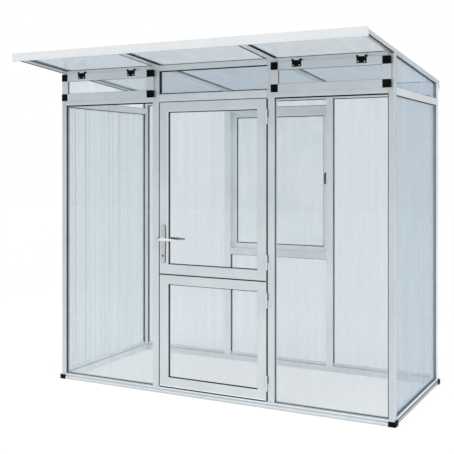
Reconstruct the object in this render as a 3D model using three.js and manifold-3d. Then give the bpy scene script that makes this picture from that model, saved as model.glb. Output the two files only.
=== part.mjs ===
// A pent greenhouse in aluminium profiles. The roof is high over the door, where it reaches forward
// past the front wall, and falls to the rear wall. The front has a stable door in two leaves, two
// top-hung vents and clear panes; the sides, the rear and the roof are twin-wall sheets, and a
// side-hung window stands in the middle of the rear wall.
// Millimetres, +Z up, +X to the right seen from the door, +Y from the door to the rear wall.
// The origin is on the ground, under the middle of the whole outline.

import * as THREE from "three";
import { mergeVertices } from "three/addons/utils/BufferGeometryUtils.js";
import Module from "manifold-3d";

const wasm = await Module();
wasm.setup();

// Outer sizes of the walls and the roof
const houseWidth = 2504;
const houseDepth = 1125;
const roofOverhang = 532;
const roofBack = 28;
const roofFrontHeight = 2328;
const roofFall = 146;

// Posts, seen from the front, and the depth that every post and rail has
const wallDepth = 46;
const cornerFrontFace = 36;
const cornerRearFace = 46;
const mullionFace = 50;
const doorClear = 824;

// Rails of the front and the side walls, measured down from the roof's front edge or the transom
const transomDrop = 318;
const transomFace = 52;
const sideRailDrop = 8;
const sideRailFace = 46;
const frontBeamDrop = 104;

// Rails of the rear wall, measured down from the roof's rear edge or the beam, and up from the ground
const rearBeamDrop = 104;
const windowHeadDrop = 86;
const windowHeadFace = 34;
const windowSillBottom = 853;
const windowSillFace = 52;

// Extruded profiles: wall, chamfered arris, glazing groove and the gap that joints and seats keep
const profileWall = 2.5;
const arris = 1.5;
const grooveDepth = 10;
const grooveEndGap = 1;
const seam = 0.3;
const overrun = 5;
const weld = 0.001;

// Panes and twin-wall sheets
const paneThickness = 4;
const paneInset = 18;
const sheetThickness = 10;
const sheetInset = 13;
const sheetSkin = 1;
const cellPitch = 40;
const cellRib = 1.2;

// Base sill, with bands that step back as they rise, and the plastic feet under the corners
const sillHeight = 42;
const sillProud = 8;
const sillBands = 3;
const sillBandGroove = 2;
const sillBandStep = 2;
const sillWall = 3;
const sillUpstand = 66;
const footHeight = 30;
const footProud = 12;
const footRound = 10;
const footSpigot = 18;
const footRoundSteps = 4;

// Roof: rafters with sheet grooves and fluted undersides, fascia and rear edge
const rafterHeight = 30;
const rafterGroove = 14;
const rafterSheetDrop = 6;
const rafterSideBand = 14;
const rafterSideStep = 1;
const fluteWidth = 5;
const fluteDepth = 3;
const fluteCount = 2;
const fasciaRise = 6;
const fasciaHeight = 54;
const fasciaWall = 2.5;
const fasciaFlange = 25;
const fasciaLip = 14;
const fasciaCap = 2;
const rearEdgeWall = 3;
const rearEdgeDrop = 64;

// Door leaves
const leafDepth = 36;
const leafFace = 67;
const leafSideGap = 6;
const leafBottom = 44;
const leafTopGap = 4;
const leafSplit = 821;
const leafSplitGap = 4;
const leafChannel = 6;
const leafChannelWidth = 12;
const leafBead = 4;
const doorStopReach = 10;
const doorSealGap = 2;
const drainLength = 25;
const drainWidth = 5;

// Barrel hinges of the door, by how far their middles are from the ends of the leaves
const doorHingeFromEnd = 118;
const doorHingeFromSplit = 123;
const hingeLength = 99;
const hingeRadius = 8;
const hingeOffFace = 0.6;
const hingePinRadius = 3.6;
const hingePinClearance = 0.5;
const hingePinReach = 40;
const hingePlateReach = 25;
const hingePlateThickness = 4;
const hingeGap = 0.4;
const roundSides = 16;

// Lever set of the upper leaf
const leverAboveSplit = 241;
const leverFromEdge = 31;
const leverLength = 122;
const leverRootHeight = 20;
const leverTipHeight = 14;
const leverThickness = 9;
const leverStandoff = 34;
const leverNeckRadius = 9;
const spindleSize = 8;
const spindleHoleRadius = 6.5;
const plateWidth = 31;
const plateHeight = 263;
const plateBelowLever = 163;
const plateThickness = 7;
const plateArris = 1.5;
const cylinderBelowLever = 114;
const cylinderRadius = 8.5;
const cylinderProud = 2.5;

// Latch bolt in the edge of the upper leaf, and its pocket in the door post, open to the front
const latchWidth = 12;
const latchHeight = 18;
const latchThrow = 8;
const latchTail = 10;
const latchBevel = 6;
const latchFromFront = 12;
const pocketClearance = 3;

// Bolt that joins the two leaves, on their inner faces
const boltRadius = 4.8;
const boltClearance = 0.5;
const boltTopGap = 6;
const boltLength = 88;
const boltFromEdge = 34;
const boltKnobRadius = 5;
const boltKnobReach = 16;
const guideWidth = 26;
const guideDepth = 18;
const guideHeight = 44;
const guideRise = 8;
const keeperHeight = 26;

// Top-hung vents in the front, and the window, whose sash has the same profile
const sashFace = 50;
const sashDepth = 22;
const sashSealGap = 1.5;
const ventInnerOverlap = 14;
const ventOuterOverlap = 18;
const ventLowerOverlap = 19;
const ventUpperOverlap = 10;
const windowOverlap = 12;
const cornerBlock = 49;
const cornerBlockProud = 1.5;

// Black strap hinges of the vents and the window
const strapLength = 62;
const strapReach = 40;
const strapThickness = 3;
const strapEar = 12;
const strapKnuckleRadius = 6;
const strapPinRadius = 2.4;
const strapPinClearance = 0.5;
const strapAxisRise = 7;
const strapAxisOut = 20;
const strapGap = 0.6;
const ventStrapSpacing = 428;
const windowStrapFromEnd = 150;

// Handle of the window
const windowHandleFromOpening = 20;
const windowHandleRise = 51;
const windowHandleLength = 76;
const windowHandleRoot = 24;
const windowHandleTip = 16;
const windowHandleThickness = 8;
const windowHandleStandoff = 18;
const windowHandleNeckRadius = 7;
const windowRoseRadius = 15;
const windowRoseThickness = 4;

// Places that follow from the sizes above
const totalDepth = roofOverhang + houseDepth + roofBack;
const yFascia = -totalDepth / 2;
const yFront = yFascia + roofOverhang;
const yRear = yFront + houseDepth;
const yRoofEnd = yRear + roofBack;
const xWall = houseWidth / 2;
const xDoor = doorClear / 2;
const xMullion = xDoor + mullionFace;
const xCornerFront = xWall - cornerFrontFace;
const xCornerRear = xWall - cornerRearFace;
const roofSlope = Math.atan2(roofFall, totalDepth);
const roofRearHeight = roofFrontHeight - roofFall;
const transomBottom = roofFrontHeight - transomDrop;
const sideRailBottom = transomBottom - sideRailDrop;
const frontBeamBottom = roofFrontHeight - frontBeamDrop;
const rearBeamBottom = roofRearHeight - rearBeamDrop;
const windowHeadBottom = rearBeamBottom - windowHeadDrop;
const leafTop = transomBottom - leafTopGap;
const leverHeight = leafSplit + leverAboveSplit;
const doorHingeHeights = [
  leafBottom + doorHingeFromEnd,
  leafSplit - doorHingeFromSplit,
  leafSplit + doorHingeFromSplit,
  leafTop - doorHingeFromEnd,
];
const grooveBite = grooveDepth - grooveEndGap;

// Heights of the roof planes above a place from front to rear
const roofPlaneAt = (y, drop) =>
  roofFrontHeight - (y - yFascia) * Math.tan(roofSlope) - drop / Math.cos(roofSlope);
const sheetUnderAt = (y) => roofPlaneAt(y, rafterSheetDrop + sheetThickness);
const rafterUnderAt = (y) => roofPlaneAt(y, rafterHeight);

// Finishes: colour, roughness and metalness
const finishes = {
  aluminium: [0xd2d5d8, 0.42, 0.55],
  fascia: [0xf1f2f3, 0.38, 0.1],
  glass: [0xd6e4ea, 0.05, 0],
  sheet: [0xdbe7f0, 0.22, 0],
  black: [0x17181a, 0.48, 0],
  steel: [0xc9cbcd, 0.28, 0.9],
};

// A geometry as a solid, moved by a matrix. A mirroring matrix turns its faces, so they are turned back.
function solidOf(geometry, matrix = new THREE.Matrix4()) {
  const loose = geometry.index ? geometry.toNonIndexed() : geometry.clone();
  const bare = new THREE.BufferGeometry();
  bare.setAttribute("position", loose.getAttribute("position"));
  bare.applyMatrix4(matrix);
  const merged = mergeVertices(bare, weld);
  const triVerts = new Uint32Array(merged.index.array);
  if (matrix.determinant() < 0) {
    for (let i = 0; i < triVerts.length; i += 3) {
      [triVerts[i + 1], triVerts[i + 2]] = [triVerts[i + 2], triVerts[i + 1]];
    }
  }
  const vertProperties = merged.attributes.position.array;
  return new wasm.Manifold(new wasm.Mesh({ numProp: 3, vertProperties, triVerts }));
}

const joined = (...solids) => solids.reduce((all, one) => all.add(one));
const cutBy = (solid, ...tools) => tools.reduce((left, tool) => left.subtract(tool), solid);

// The mesh of a solid, with flat faces, in its own material
function meshOf(name, solid, finish) {
  const { numProp, vertProperties, triVerts } = solid.getMesh();
  const positions = new Float32Array(triVerts.length * 3);
  triVerts.forEach((vertex, i) => {
    const start = vertex * numProp;
    positions.set(vertProperties.subarray(start, start + 3), i * 3);
  });
  const geometry = new THREE.BufferGeometry();
  geometry.setAttribute("position", new THREE.BufferAttribute(positions, 3));
  geometry.computeVertexNormals();
  const [color, roughness, metalness] = finishes[finish];
  const clear = finish === "glass" || finish === "sheet";
  const material = new THREE.MeshStandardMaterial({ color, roughness, metalness });
  material.transparent = clear;
  material.opacity = clear ? 0.4 : 1;
  const mesh = new THREE.Mesh(geometry, material);
  mesh.name = name;
  return mesh;
}

// A group at a pivot, with each mesh's points measured from there
function bodyAt(pivot, ...meshes) {
  const group = new THREE.Group();
  group.position.copy(pivot);
  for (const mesh of meshes) {
    mesh.geometry.translate(-pivot.x, -pivot.y, -pivot.z);
    group.add(mesh);
  }
  return group;
}

// The world axes that an outline's two coordinates and its extrusion follow
const X = new THREE.Vector3(1, 0, 0);
const Y = new THREE.Vector3(0, 1, 0);
const Z = new THREE.Vector3(0, 0, 1);
const runs = { x: [Y, Z, X], y: [X, Z, Y], z: [X, Y, Z] };

// The points of an outline, turned to run anticlockwise
function anticlockwise(outline) {
  const points = outline.map(([a, b]) => new THREE.Vector2(a, b));
  return THREE.ShapeUtils.isClockWise(points) ? points.reverse() : points;
}

// Outlines extruded together along one axis, from one place to another
function prisms(run, outlines, from, to) {
  const shapes = outlines.map((outline) => new THREE.Shape(anticlockwise(outline)));
  const geometry = new THREE.ExtrudeGeometry(shapes, { depth: to - from, bevelEnabled: false });
  const [first, second, along] = runs[run];
  const matrix = new THREE.Matrix4().makeBasis(first, second, along);
  return solidOf(geometry, matrix.setPosition(along.clone().multiplyScalar(from)));
}

// An outline extruded along one axis, with holes that run right through it
function extruded(run, outline, from, to, holes = []) {
  const bar = prisms(run, [outline], from, to);
  return holes.length ? bar.subtract(prisms(run, holes, from - overrun, to + overrun)) : bar;
}

// A round bar of a radius along an axis, centred on a point in the plane across it
function roundBar(run, [a, b], radius, from, to) {
  const outline = [];
  for (let i = 0; i < roundSides; i += 1) {
    const turn = ((i + 0.5) / roundSides) * 2 * Math.PI;
    outline.push([a + radius * Math.cos(turn), b + radius * Math.sin(turn)]);
  }
  return extruded(run, outline, from, to);
}

const rectangle = (a0, a1, b0, b1) => [
  [a0, b0],
  [a1, b0],
  [a1, b1],
  [a0, b1],
];

// A block with chamfered long edges, extruded along an axis
function chamferedBlock(run, a0, a1, b0, b1, cut, from, to) {
  const outline = [
    [a0 + cut, b0],
    [a1 - cut, b0],
    [a1, b0 + cut],
    [a1, b1 - cut],
    [a1 - cut, b1],
    [a0 + cut, b1],
    [a0, b1 - cut],
    [a0, b0 + cut],
  ];
  return extruded(run, outline, from, to);
}

// Grooves and lips on the side of a profile. reach is negative into the profile, positive out of it.
const paneGroove = { from: paneInset - seam, to: paneInset + paneThickness + seam, reach: -grooveDepth };
const sheetGroove = { from: sheetInset - seam, to: sheetInset + sheetThickness + seam, reach: -grooveDepth };
const doorStop = { from: leafDepth + doorSealGap, to: wallDepth, reach: doorStopReach };

// Section of a profile: u runs across its face and v from the face inwards. The side at u = 0 and
// the side at u = face each have their list of grooves and lips, walked from the face inwards.
function section(face, depth, low, high, bead = arris) {
  const walk = (edge, out, steps) =>
    steps.flatMap(({ from, to, reach }) => [
      [edge, from],
      [edge + out * reach, from],
      [edge + out * reach, to],
      [edge, to],
    ]);
  const points = [
    [arris, 0],
    [face - bead, 0],
    [face, bead],
    ...walk(face, 1, high),
    [face, depth],
    [0, depth],
    ...walk(0, -1, low).reverse(),
    [0, arris],
  ];
  return points.filter(([u, v], i) => {
    const [lastU, lastV] = points[(i + points.length - 1) % points.length];
    return u !== lastU || v !== lastV;
  });
}

// The hollow of a profile: its section less its walls and the grooves on either side
function hollow(face, depth, low, high, backGroove = 0) {
  const bite = (steps) => Math.max(0, ...steps.map(({ reach }) => -reach));
  return rectangle(
    bite(low) + profileWall,
    face - bite(high) - profileWall,
    profileWall,
    depth - backGroove - profileWall,
  );
}

// Front posts run v inwards from the front face, rear posts from the rear face
const planFront = (x) => ([u, v]) => [x + u, yFront + v];
const planRear = (x) => ([u, v]) => [x + u, yRear - v];

function post(plan, face, low, high, z0, z1) {
  const outline = section(face, wallDepth, low, high).map(plan);
  return extruded("z", outline, z0, z1, [hollow(face, wallDepth, low, high).map(plan)]);
}

// Rails across the front or the rear: u runs up and v inwards
function railAcross(wall, x0, x1, z0, face, low, high) {
  const placed = ([u, v]) => [wall === "front" ? yFront + v : yRear - v, z0 + u];
  const outline = section(face, wallDepth, low, high).map(placed);
  return extruded("x", outline, x0 + seam, x1 - seam, [hollow(face, wallDepth, low, high).map(placed)]);
}

// Everything above the undersides of the rafters, to trim what carries them
function aboveRafters() {
  const y0 = yFront - overrun;
  const y1 = yRear + overrun;
  const top = roofFrontHeight + rafterHeight;
  const outline = [
    [y0, rafterUnderAt(y0) - seam],
    [y1, rafterUnderAt(y1) - seam],
    [y1, top],
    [y0, top],
  ];
  return extruded("x", outline, -houseWidth, houseWidth);
}

// Corner posts: one groove for the front pane or rear sheet, one in the back for the side sheet.
// They are drawn for the right side; side is -1 for the left one.
function cornerPost(side, atFront) {
  const face = atFront ? cornerFrontFace : cornerRearFace;
  const plan = ([u, v]) => [side * (xWall - u), atFront ? yFront + v : yRear - v];
  const inner = atFront ? paneGroove : sheetGroove;
  const body = section(face, wallDepth, [], [inner]).map(plan);
  const core = hollow(face, wallDepth, [], [inner], grooveDepth).map(plan);
  const slot = rectangle(sheetGroove.from, sheetGroove.to, wallDepth - grooveDepth, wallDepth + overrun);
  const z1 = roofFrontHeight;
  const raw = extruded("z", body, footHeight + seam, z1, [core]);
  return cutBy(raw, extruded("z", slot.map(plan), 0, z1 + overrun), aboveRafters());
}

// Pocket for the latch in the side of the left door post, open to the front
function latchPocket() {
  const half = latchHeight / 2 + pocketClearance;
  const outline = rectangle(
    -xDoor - latchThrow - pocketClearance,
    -xDoor + overrun,
    yFront - overrun,
    yFront + latchFromFront + latchWidth + pocketClearance,
  );
  return extruded("z", outline, leverHeight - half, leverHeight + half);
}

// Door hinge halves, round an upright axis in front of the gap between leaf and post
const hingeAxis = new THREE.Vector3(xDoor - leafSideGap / 2, yFront - hingeRadius - hingeOffFace, 0);

function hingePlate(side, z0, z1) {
  const x0 = hingeAxis.x;
  const x1 = x0 + side * hingePlateReach;
  const y1 = yFront + seam;
  return extruded("z", rectangle(x0, x1, yFront - hingePlateThickness, y1), z0, z1);
}

function fixedHinge(middle) {
  const centre = [hingeAxis.x, hingeAxis.y];
  const low = middle - hingeLength / 2;
  const high = middle - hingeGap / 2;
  return joined(
    roundBar("z", centre, hingeRadius, low, high),
    roundBar("z", centre, hingePinRadius, high - overrun, high + hingePinReach),
    hingePlate(1, low, high),
  );
}

function movingHinge(middle) {
  const centre = [hingeAxis.x, hingeAxis.y];
  const low = middle + hingeGap / 2;
  const high = middle + hingeLength / 2;
  const barrel = joined(roundBar("z", centre, hingeRadius, low, high), hingePlate(-1, low, high));
  const bore = hingePinRadius + hingePinClearance;
  return cutBy(barrel, roundBar("z", centre, bore, low - overrun, high + overrun));
}

// A door post has a glazing groove on both sides, for a front pane and the fanlight. The stop that
// the leaves close against ends under the stop of the transom.
function doorPost(side) {
  const x0 = side < 0 ? -xMullion : xDoor;
  const z0 = sillHeight + seam;
  const bar = post(planFront(x0), mullionFace, [paneGroove], [paneGroove], z0, frontBeamBottom - seam);
  const stopX = [side * xDoor + side * seam, side * (xDoor - doorStopReach)].sort((a, b) => a - b);
  const stopOutline = rectangle(...stopX, yFront + doorStop.from, yFront + doorStop.to);
  const stop = extruded("z", stopOutline, z0, transomBottom - doorStopReach - seam);
  const upright = joined(bar, stop);
  if (side < 0) {
    return cutBy(upright, latchPocket());
  }
  return joined(upright, ...doorHingeHeights.map(fixedHinge));
}

// Sections of the base sills: bands step back as they rise, and a chamber runs inside. outer is the
// distance from the wall's outer face, positive inwards.
function sillSection(groove, upstand) {
  const points = [[wallDepth, 0], [-sillProud, 0]];
  const band = sillHeight / sillBands;
  for (let i = 0; i < sillBands; i += 1) {
    const out = -sillProud + i * sillBandStep;
    const top = (i + 1) * band;
    points.push([out, top - sillBandGroove]);
    if (i < sillBands - 1) {
      points.push([out + sillBandStep + arris, top - sillBandGroove], [out + sillBandStep + arris, top]);
      points.push([out + sillBandStep, top]);
    }
  }
  points.push([-sillProud + sillBands * sillBandStep + arris, sillHeight]);
  points.push([groove.from, sillHeight], [groove.from, sillHeight - grooveDepth]);
  points.push([groove.to, sillHeight - grooveDepth], [groove.to, upstand]);
  if (upstand > sillHeight) {
    points.push([groove.to + sillWall, upstand], [groove.to + sillWall, sillHeight]);
  }
  points.push([wallDepth, sillHeight]);
  return points;
}

const sillChamber = rectangle(
  sillWall,
  wallDepth - sillWall,
  sillWall,
  sillHeight - grooveDepth - sillWall,
);

function sillAcross(atFront) {
  const placed = ([v, z]) => [atFront ? yFront + v : yRear - v, z];
  const groove = atFront ? paneGroove : sheetGroove;
  const end = (atFront ? xCornerFront : xCornerRear) - seam;
  const outline = sillSection(groove, atFront ? sillHeight : sillUpstand).map(placed);
  return extruded("x", outline, -end, end, [sillChamber.map(placed)]);
}

function sillAlong(side) {
  const placed = ([v, z]) => [side * (xWall - v), z];
  const outline = sillSection(sheetGroove, sillUpstand).map(placed);
  const y0 = yFront + wallDepth + seam;
  const y1 = yRear - wallDepth - seam;
  return extruded("y", outline, y0, y1, [sillChamber.map(placed)]);
}

// A foot fills the corner under its post and stands proud of both walls, with a spigot in the post
function cornerFoot(side, atFront) {
  const face = atFront ? cornerFrontFace : cornerRearFace;
  const reach = atFront ? -1 : 1;
  const yWall = atFront ? yFront : yRear;
  const at = (u, v) => [side * (xWall + footProud - u), yWall + reach * (footProud - v)];
  const outline = [at(face + footProud, 0), at(face + footProud, wallDepth + footProud)];
  outline.push(at(0, wallDepth + footProud));
  for (let i = 0; i <= footRoundSteps; i += 1) {
    const turn = ((i / footRoundSteps) * Math.PI) / 2;
    const u = footRound * (1 - Math.cos(turn));
    const v = footRound * (1 - Math.sin(turn));
    outline.push(at(u, v));
  }
  const inner = atFront ? paneGroove : sheetGroove;
  const plan = ([u, v]) => [side * (xWall - u), yWall - reach * v];
  const inset = 2 * seam;
  const [[u0, v0], , [u1, v1]] = hollow(face, wallDepth, [], [inner], grooveDepth);
  const spigot = rectangle(u0 + inset, u1 - inset, v0 + inset, v1 - inset).map(plan);
  return joined(
    extruded("z", outline, 0, footHeight),
    extruded("z", spigot, footHeight - overrun, footHeight + footSpigot),
  );
}

// Rails along the side walls
function sideRail(side) {
  const placed = ([u, v]) => [side * (xWall - v), sideRailBottom + u];
  const grooves = [[sheetGroove], [sheetGroove]];
  const outline = section(sideRailFace, wallDepth, ...grooves).map(placed);
  const core = hollow(sideRailFace, wallDepth, ...grooves).map(placed);
  return extruded("y", outline, yFront + wallDepth + seam, yRear - wallDepth - seam, [core]);
}

// Space that a rafter takes in the beams under it, in the house's own frame
function rafterSpace(x0, x1) {
  const box = new THREE.BoxGeometry(x1 - x0 + 2 * seam, 2 * totalDepth, rafterHeight + 2 * seam);
  const middle = new THREE.Vector3((x0 + x1) / 2, totalDepth / 2, -rafterHeight / 2);
  const matrix = roofMatrix().multiply(new THREE.Matrix4().setPosition(middle));
  return solidOf(box, matrix);
}

function roofMatrix() {
  const place = new THREE.Vector3(0, yFascia, roofFrontHeight);
  return new THREE.Matrix4().makeRotationX(-roofSlope).setPosition(place);
}

// The beams close the wall up to the roof sheets, and the middle rafters lie in notches in them
function beamFront() {
  const y0 = yFront;
  const y1 = yFront + wallDepth;
  const groove = frontBeamBottom + grooveDepth;
  const outline = [
    [y0, frontBeamBottom],
    [y0 + paneGroove.from, frontBeamBottom],
    [y0 + paneGroove.from, groove],
    [y0 + paneGroove.to, groove],
    [y0 + paneGroove.to, frontBeamBottom],
    [y1, frontBeamBottom],
    [y1, sheetUnderAt(y1) - seam],
    [y0, sheetUnderAt(y0) - seam],
  ];
  const core = rectangle(
    y0 + profileWall,
    y1 - profileWall,
    groove + profileWall,
    rafterUnderAt(y1) - seam - profileWall,
  );
  const end = xCornerFront - seam;
  const bar = extruded("x", outline, -end, end, [core]);
  const notched = cutBy(bar, rafterSpace(-xMullion, -xDoor), rafterSpace(xDoor, xMullion));
  return joined(notched, ...ventStrapPlaces.map((x) => strapFixed(ventStrapFrame(x))));
}

function beamRear() {
  const y0 = yRear - wallDepth;
  const groove = rearBeamBottom + grooveDepth;
  const g0 = yRear - sheetGroove.to;
  const g1 = yRear - sheetGroove.from;
  const outline = [
    [y0, rearBeamBottom],
    [g0, rearBeamBottom],
    [g0, groove],
    [g1, groove],
    [g1, rearBeamBottom],
    [yRear, rearBeamBottom],
    [yRear, sheetUnderAt(yRear) - seam],
    [y0, sheetUnderAt(y0) - seam],
  ];
  const core = rectangle(
    y0 + profileWall,
    yRear - profileWall,
    groove + profileWall,
    rafterUnderAt(yRear) - seam - profileWall,
  );
  const end = xCornerRear - seam;
  const rearEdgeShelf = roofRearHeight - rearEdgeDrop;
  const edge = [
    [yRear - profileWall, rearEdgeShelf],
    [yRoofEnd, rearEdgeShelf],
    [yRoofEnd, roofPlaneAt(yRoofEnd, 0)],
    [yRoofEnd - rearEdgeWall, roofPlaneAt(yRoofEnd, 0)],
    [yRoofEnd - rearEdgeWall, rearEdgeShelf + rearEdgeWall],
    [yRear - profileWall, rearEdgeShelf + rearEdgeWall],
  ];
  const wing = edge.map(([y, z]) => [Math.max(y, yRear + seam), z]);
  const bar = cutBy(
    extruded("x", outline, -end, end, [core]),
    rafterSpace(-xMullion, -xDoor),
    rafterSpace(xDoor, xMullion),
  );
  return joined(bar, extruded("x", edge, -end, end), extruded("x", wing, -xWall, xWall));
}

// Roof pieces lie in the roof's own frame: y runs down the slope from the fascia and z is square to it
const rafterStart = (fasciaWall + seam) / Math.cos(roofSlope) + rafterHeight * Math.tan(roofSlope);
const rafterEnd = (totalDepth - rearEdgeWall - seam) / Math.cos(roofSlope);

function flutes(face) {
  const points = [];
  const pitch = face / (fluteCount + 1);
  for (let i = fluteCount; i > 0; i -= 1) {
    const left = pitch * i - fluteWidth / 2;
    points.push([left + fluteWidth, rafterHeight], [left + fluteWidth, rafterHeight - fluteDepth]);
    points.push([left, rafterHeight - fluteDepth], [left, rafterHeight]);
  }
  return points;
}

const roofGroove = {
  from: rafterSheetDrop - seam,
  to: rafterSheetDrop + sheetThickness + seam,
  reach: -rafterGroove,
};

function middleRafter(x0) {
  const placed = ([u, v]) => [x0 + u, -v];
  const plain = section(mullionFace, rafterHeight, [roofGroove], [roofGroove]);
  const corner = plain.findIndex(([u, v]) => u === mullionFace && v === rafterHeight);
  plain.splice(corner + 1, 0, ...flutes(mullionFace));
  const inner = rafterGroove + profileWall;
  const core = rectangle(inner, mullionFace - inner, profileWall, rafterHeight - fluteDepth - profileWall);
  return extruded("y", plain.map(placed), rafterStart, rafterEnd, [core.map(placed)]);
}

function endRafter(side) {
  const placed = ([u, v]) => [side * (xWall - u), -v];
  const outline = [
    [arris, 0],
    [cornerFrontFace, 0],
    [cornerFrontFace, roofGroove.from],
    [cornerFrontFace - rafterGroove, roofGroove.from],
    [cornerFrontFace - rafterGroove, roofGroove.to],
    [cornerFrontFace, roofGroove.to],
    [cornerFrontFace, rafterHeight],
    [sheetGroove.to, rafterHeight],
    [sheetGroove.to, rafterHeight - grooveDepth],
    [sheetGroove.from, rafterHeight - grooveDepth],
    [sheetGroove.from, rafterHeight],
    [0, rafterHeight],
    [0, rafterSideBand],
    [rafterSideStep, rafterSideBand],
    [rafterSideStep, arris],
  ];
  return extruded("y", outline.map(placed), rafterStart, rafterEnd);
}

function fascia() {
  const y0 = yFascia;
  const y1 = yFascia + fasciaFlange;
  const fasciaTop = roofFrontHeight + fasciaRise;
  const bottom = fasciaTop - fasciaHeight;
  const shelf = rafterUnderAt(y1) - seam;
  const outline = [
    [y0, bottom],
    [y0 + fasciaLip, bottom],
    [y0 + fasciaLip, bottom + fasciaWall],
    [y0 + fasciaWall, bottom + fasciaWall],
    [y0 + fasciaWall, shelf - fasciaWall],
    [y1, shelf - fasciaWall],
    [y1, shelf],
    [y0 + fasciaWall, shelf],
    [y0 + fasciaWall, fasciaTop - fasciaWall],
    [y1, fasciaTop - fasciaWall],
    [y1, fasciaTop],
    [y0, fasciaTop],
  ];
  const end = xWall + seam;
  const cap = rectangle(y0, y1, bottom, fasciaTop);
  return joined(
    extruded("x", outline, -end, end),
    extruded("x", cap, end, end + fasciaCap),
    extruded("x", cap, -end - fasciaCap, -end),
  );
}

// Twin-wall sheet: two skins and ribs, with open cells that run along the sheet. The outline lies
// across the cells, first along the sheet's width and then through its thickness.
function twinWall(run, a0, a1, b0, b1, from, to) {
  const alongFirst = a1 - a0 > b1 - b0;
  const [low, high] = alongFirst ? [a0, a1] : [b0, b1];
  const [skin0, skin1] = alongFirst ? [b0 + sheetSkin, b1 - sheetSkin] : [a0 + sheetSkin, a1 - sheetSkin];
  const cells = Math.max(1, Math.round((high - low) / cellPitch));
  const pitch = (high - low) / cells;
  const holes = [];
  for (let i = 0; i < cells; i += 1) {
    const start = low + i * pitch + cellRib / 2;
    const end = low + (i + 1) * pitch - cellRib / 2;
    holes.push(alongFirst ? rectangle(start, end, skin0, skin1) : rectangle(skin0, skin1, start, end));
  }
  return extruded(run, rectangle(a0, a1, b0, b1), from, to, holes);
}

// Sheets and panes reach into the grooves on each side of their opening
function rearSheet(x0, x1, z0, z1) {
  const y0 = yRear - sheetInset - sheetThickness;
  const y1 = yRear - sheetInset;
  return twinWall("z", x0 - grooveBite, x1 + grooveBite, y0, y1, z0 - grooveBite, z1 + grooveBite);
}

function sideSheetSpan(side) {
  const x0 = side * (xWall - sheetInset);
  const x1 = side * (xWall - sheetInset - sheetThickness);
  const y0 = yFront + wallDepth - grooveBite;
  const y1 = yRear - wallDepth + grooveBite;
  return [Math.min(x0, x1), Math.max(x0, x1), y0, y1];
}

function sideSheet(side) {
  const z0 = sillHeight - grooveBite;
  const z1 = sideRailBottom + grooveBite;
  return twinWall("z", ...sideSheetSpan(side), z0, z1);
}

// A gable sheet is cut along the roof, inside the groove of the end rafter
function gableSheet(side) {
  const z0 = sideRailBottom + sideRailFace - grooveBite;
  const raw = twinWall("z", ...sideSheetSpan(side), z0, roofFrontHeight);
  const y0 = yFront - overrun;
  const y1 = yRear + overrun;
  const limitAt = (y) => roofPlaneAt(y, rafterHeight - grooveBite);
  const above = [
    [y0, limitAt(y0)],
    [y1, limitAt(y1)],
    [y1, roofFrontHeight + overrun],
    [y0, roofFrontHeight + overrun],
  ];
  return cutBy(raw, extruded("x", above, -houseWidth, houseWidth));
}

function roofSheet(x0, x1) {
  const bite = rafterGroove - grooveEndGap;
  const top = -rafterSheetDrop;
  return twinWall("y", x0 - bite, x1 + bite, top - sheetThickness, top, rafterStart, rafterEnd);
}

function frontPane(x0, x1, z0, z1) {
  const y0 = yFront + paneInset;
  const outline = rectangle(x0 - grooveBite, x1 + grooveBite, y0, y0 + paneThickness);
  return extruded("z", outline, z0 - grooveBite, z1 + grooveBite);
}

// A profile carried round a rectangle, mitred at its four corners. u runs inwards from the outer
// edge and v from the plane at y along inward.
function mitredRing(outline, x0, x1, z0, z1, y, inward) {
  const corners = outline.map(([u, v]) => [
    [x0 + u, y + inward * v, z0 + u],
    [x1 - u, y + inward * v, z0 + u],
    [x1 - u, y + inward * v, z1 - u],
    [x0 + u, y + inward * v, z1 - u],
  ]);
  const points = [];
  corners.forEach((ring, i) => {
    const next = corners[(i + 1) % corners.length];
    ring.forEach((corner, j) => {
      const k = (j + 1) % ring.length;
      points.push(...corner, ...ring[k], ...next[k], ...corner, ...next[k], ...next[j]);
    });
  });
  const geometry = new THREE.BufferGeometry();
  geometry.setAttribute("position", new THREE.Float32BufferAttribute(points, 3));
  const made = solidOf(geometry);
  return made.volume() > 0 ? made : solidOf(flipped(geometry));
}

function flipped(geometry) {
  const index = [];
  for (let i = 0; i < geometry.attributes.position.count; i += 3) {
    index.push(i, i + 2, i + 1);
  }
  return geometry.clone().setIndex(index);
}

// Hollow frame of a leaf or sash. Drain slots open its chamber through the bottom rail.
function glazedFrame({ x0, x1, z0, z1, y, inward, face, depth, outer, groove, bead }) {
  const ring = mitredRing(section(face, depth, outer, [groove], bead), x0, x1, z0, z1, y, inward);
  const chamber = mitredRing(hollow(face, depth, outer, [groove]), x0, x1, z0, z1, y, inward);
  const middle = y + (inward * depth) / 2;
  const drains = [1, 3].map((quarter) => {
    const x = x0 + ((x1 - x0) * quarter) / 4;
    const outline = rectangle(
      x - drainLength / 2,
      x + drainLength / 2,
      middle - drainWidth / 2,
      middle + drainWidth / 2,
    );
    return extruded("z", outline, z0 - overrun, z0 + face / 2);
  });
  return cutBy(ring, chamber, ...drains);
}

function framePane(x0, x1, z0, z1, face, y0) {
  const inset = face - grooveBite;
  const outline = rectangle(x0 + inset, x1 - inset, y0, y0 + paneThickness);
  return extruded("z", outline, z0 + inset, z1 - inset);
}

// Door leaves
const xLeaf = xDoor - leafSideGap;
const splitTop = leafSplit + leafSplitGap / 2;
const splitBottom = leafSplit - leafSplitGap / 2;
const leafPaneAt = (leafDepth - paneThickness) / 2;
const leafGroove = { from: leafPaneAt - seam, to: leafPaneAt + paneThickness + seam, reach: -grooveDepth };
const leafEdge = {
  from: (leafDepth - leafChannelWidth) / 2,
  to: (leafDepth + leafChannelWidth) / 2,
  reach: -leafChannel,
};

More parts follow.
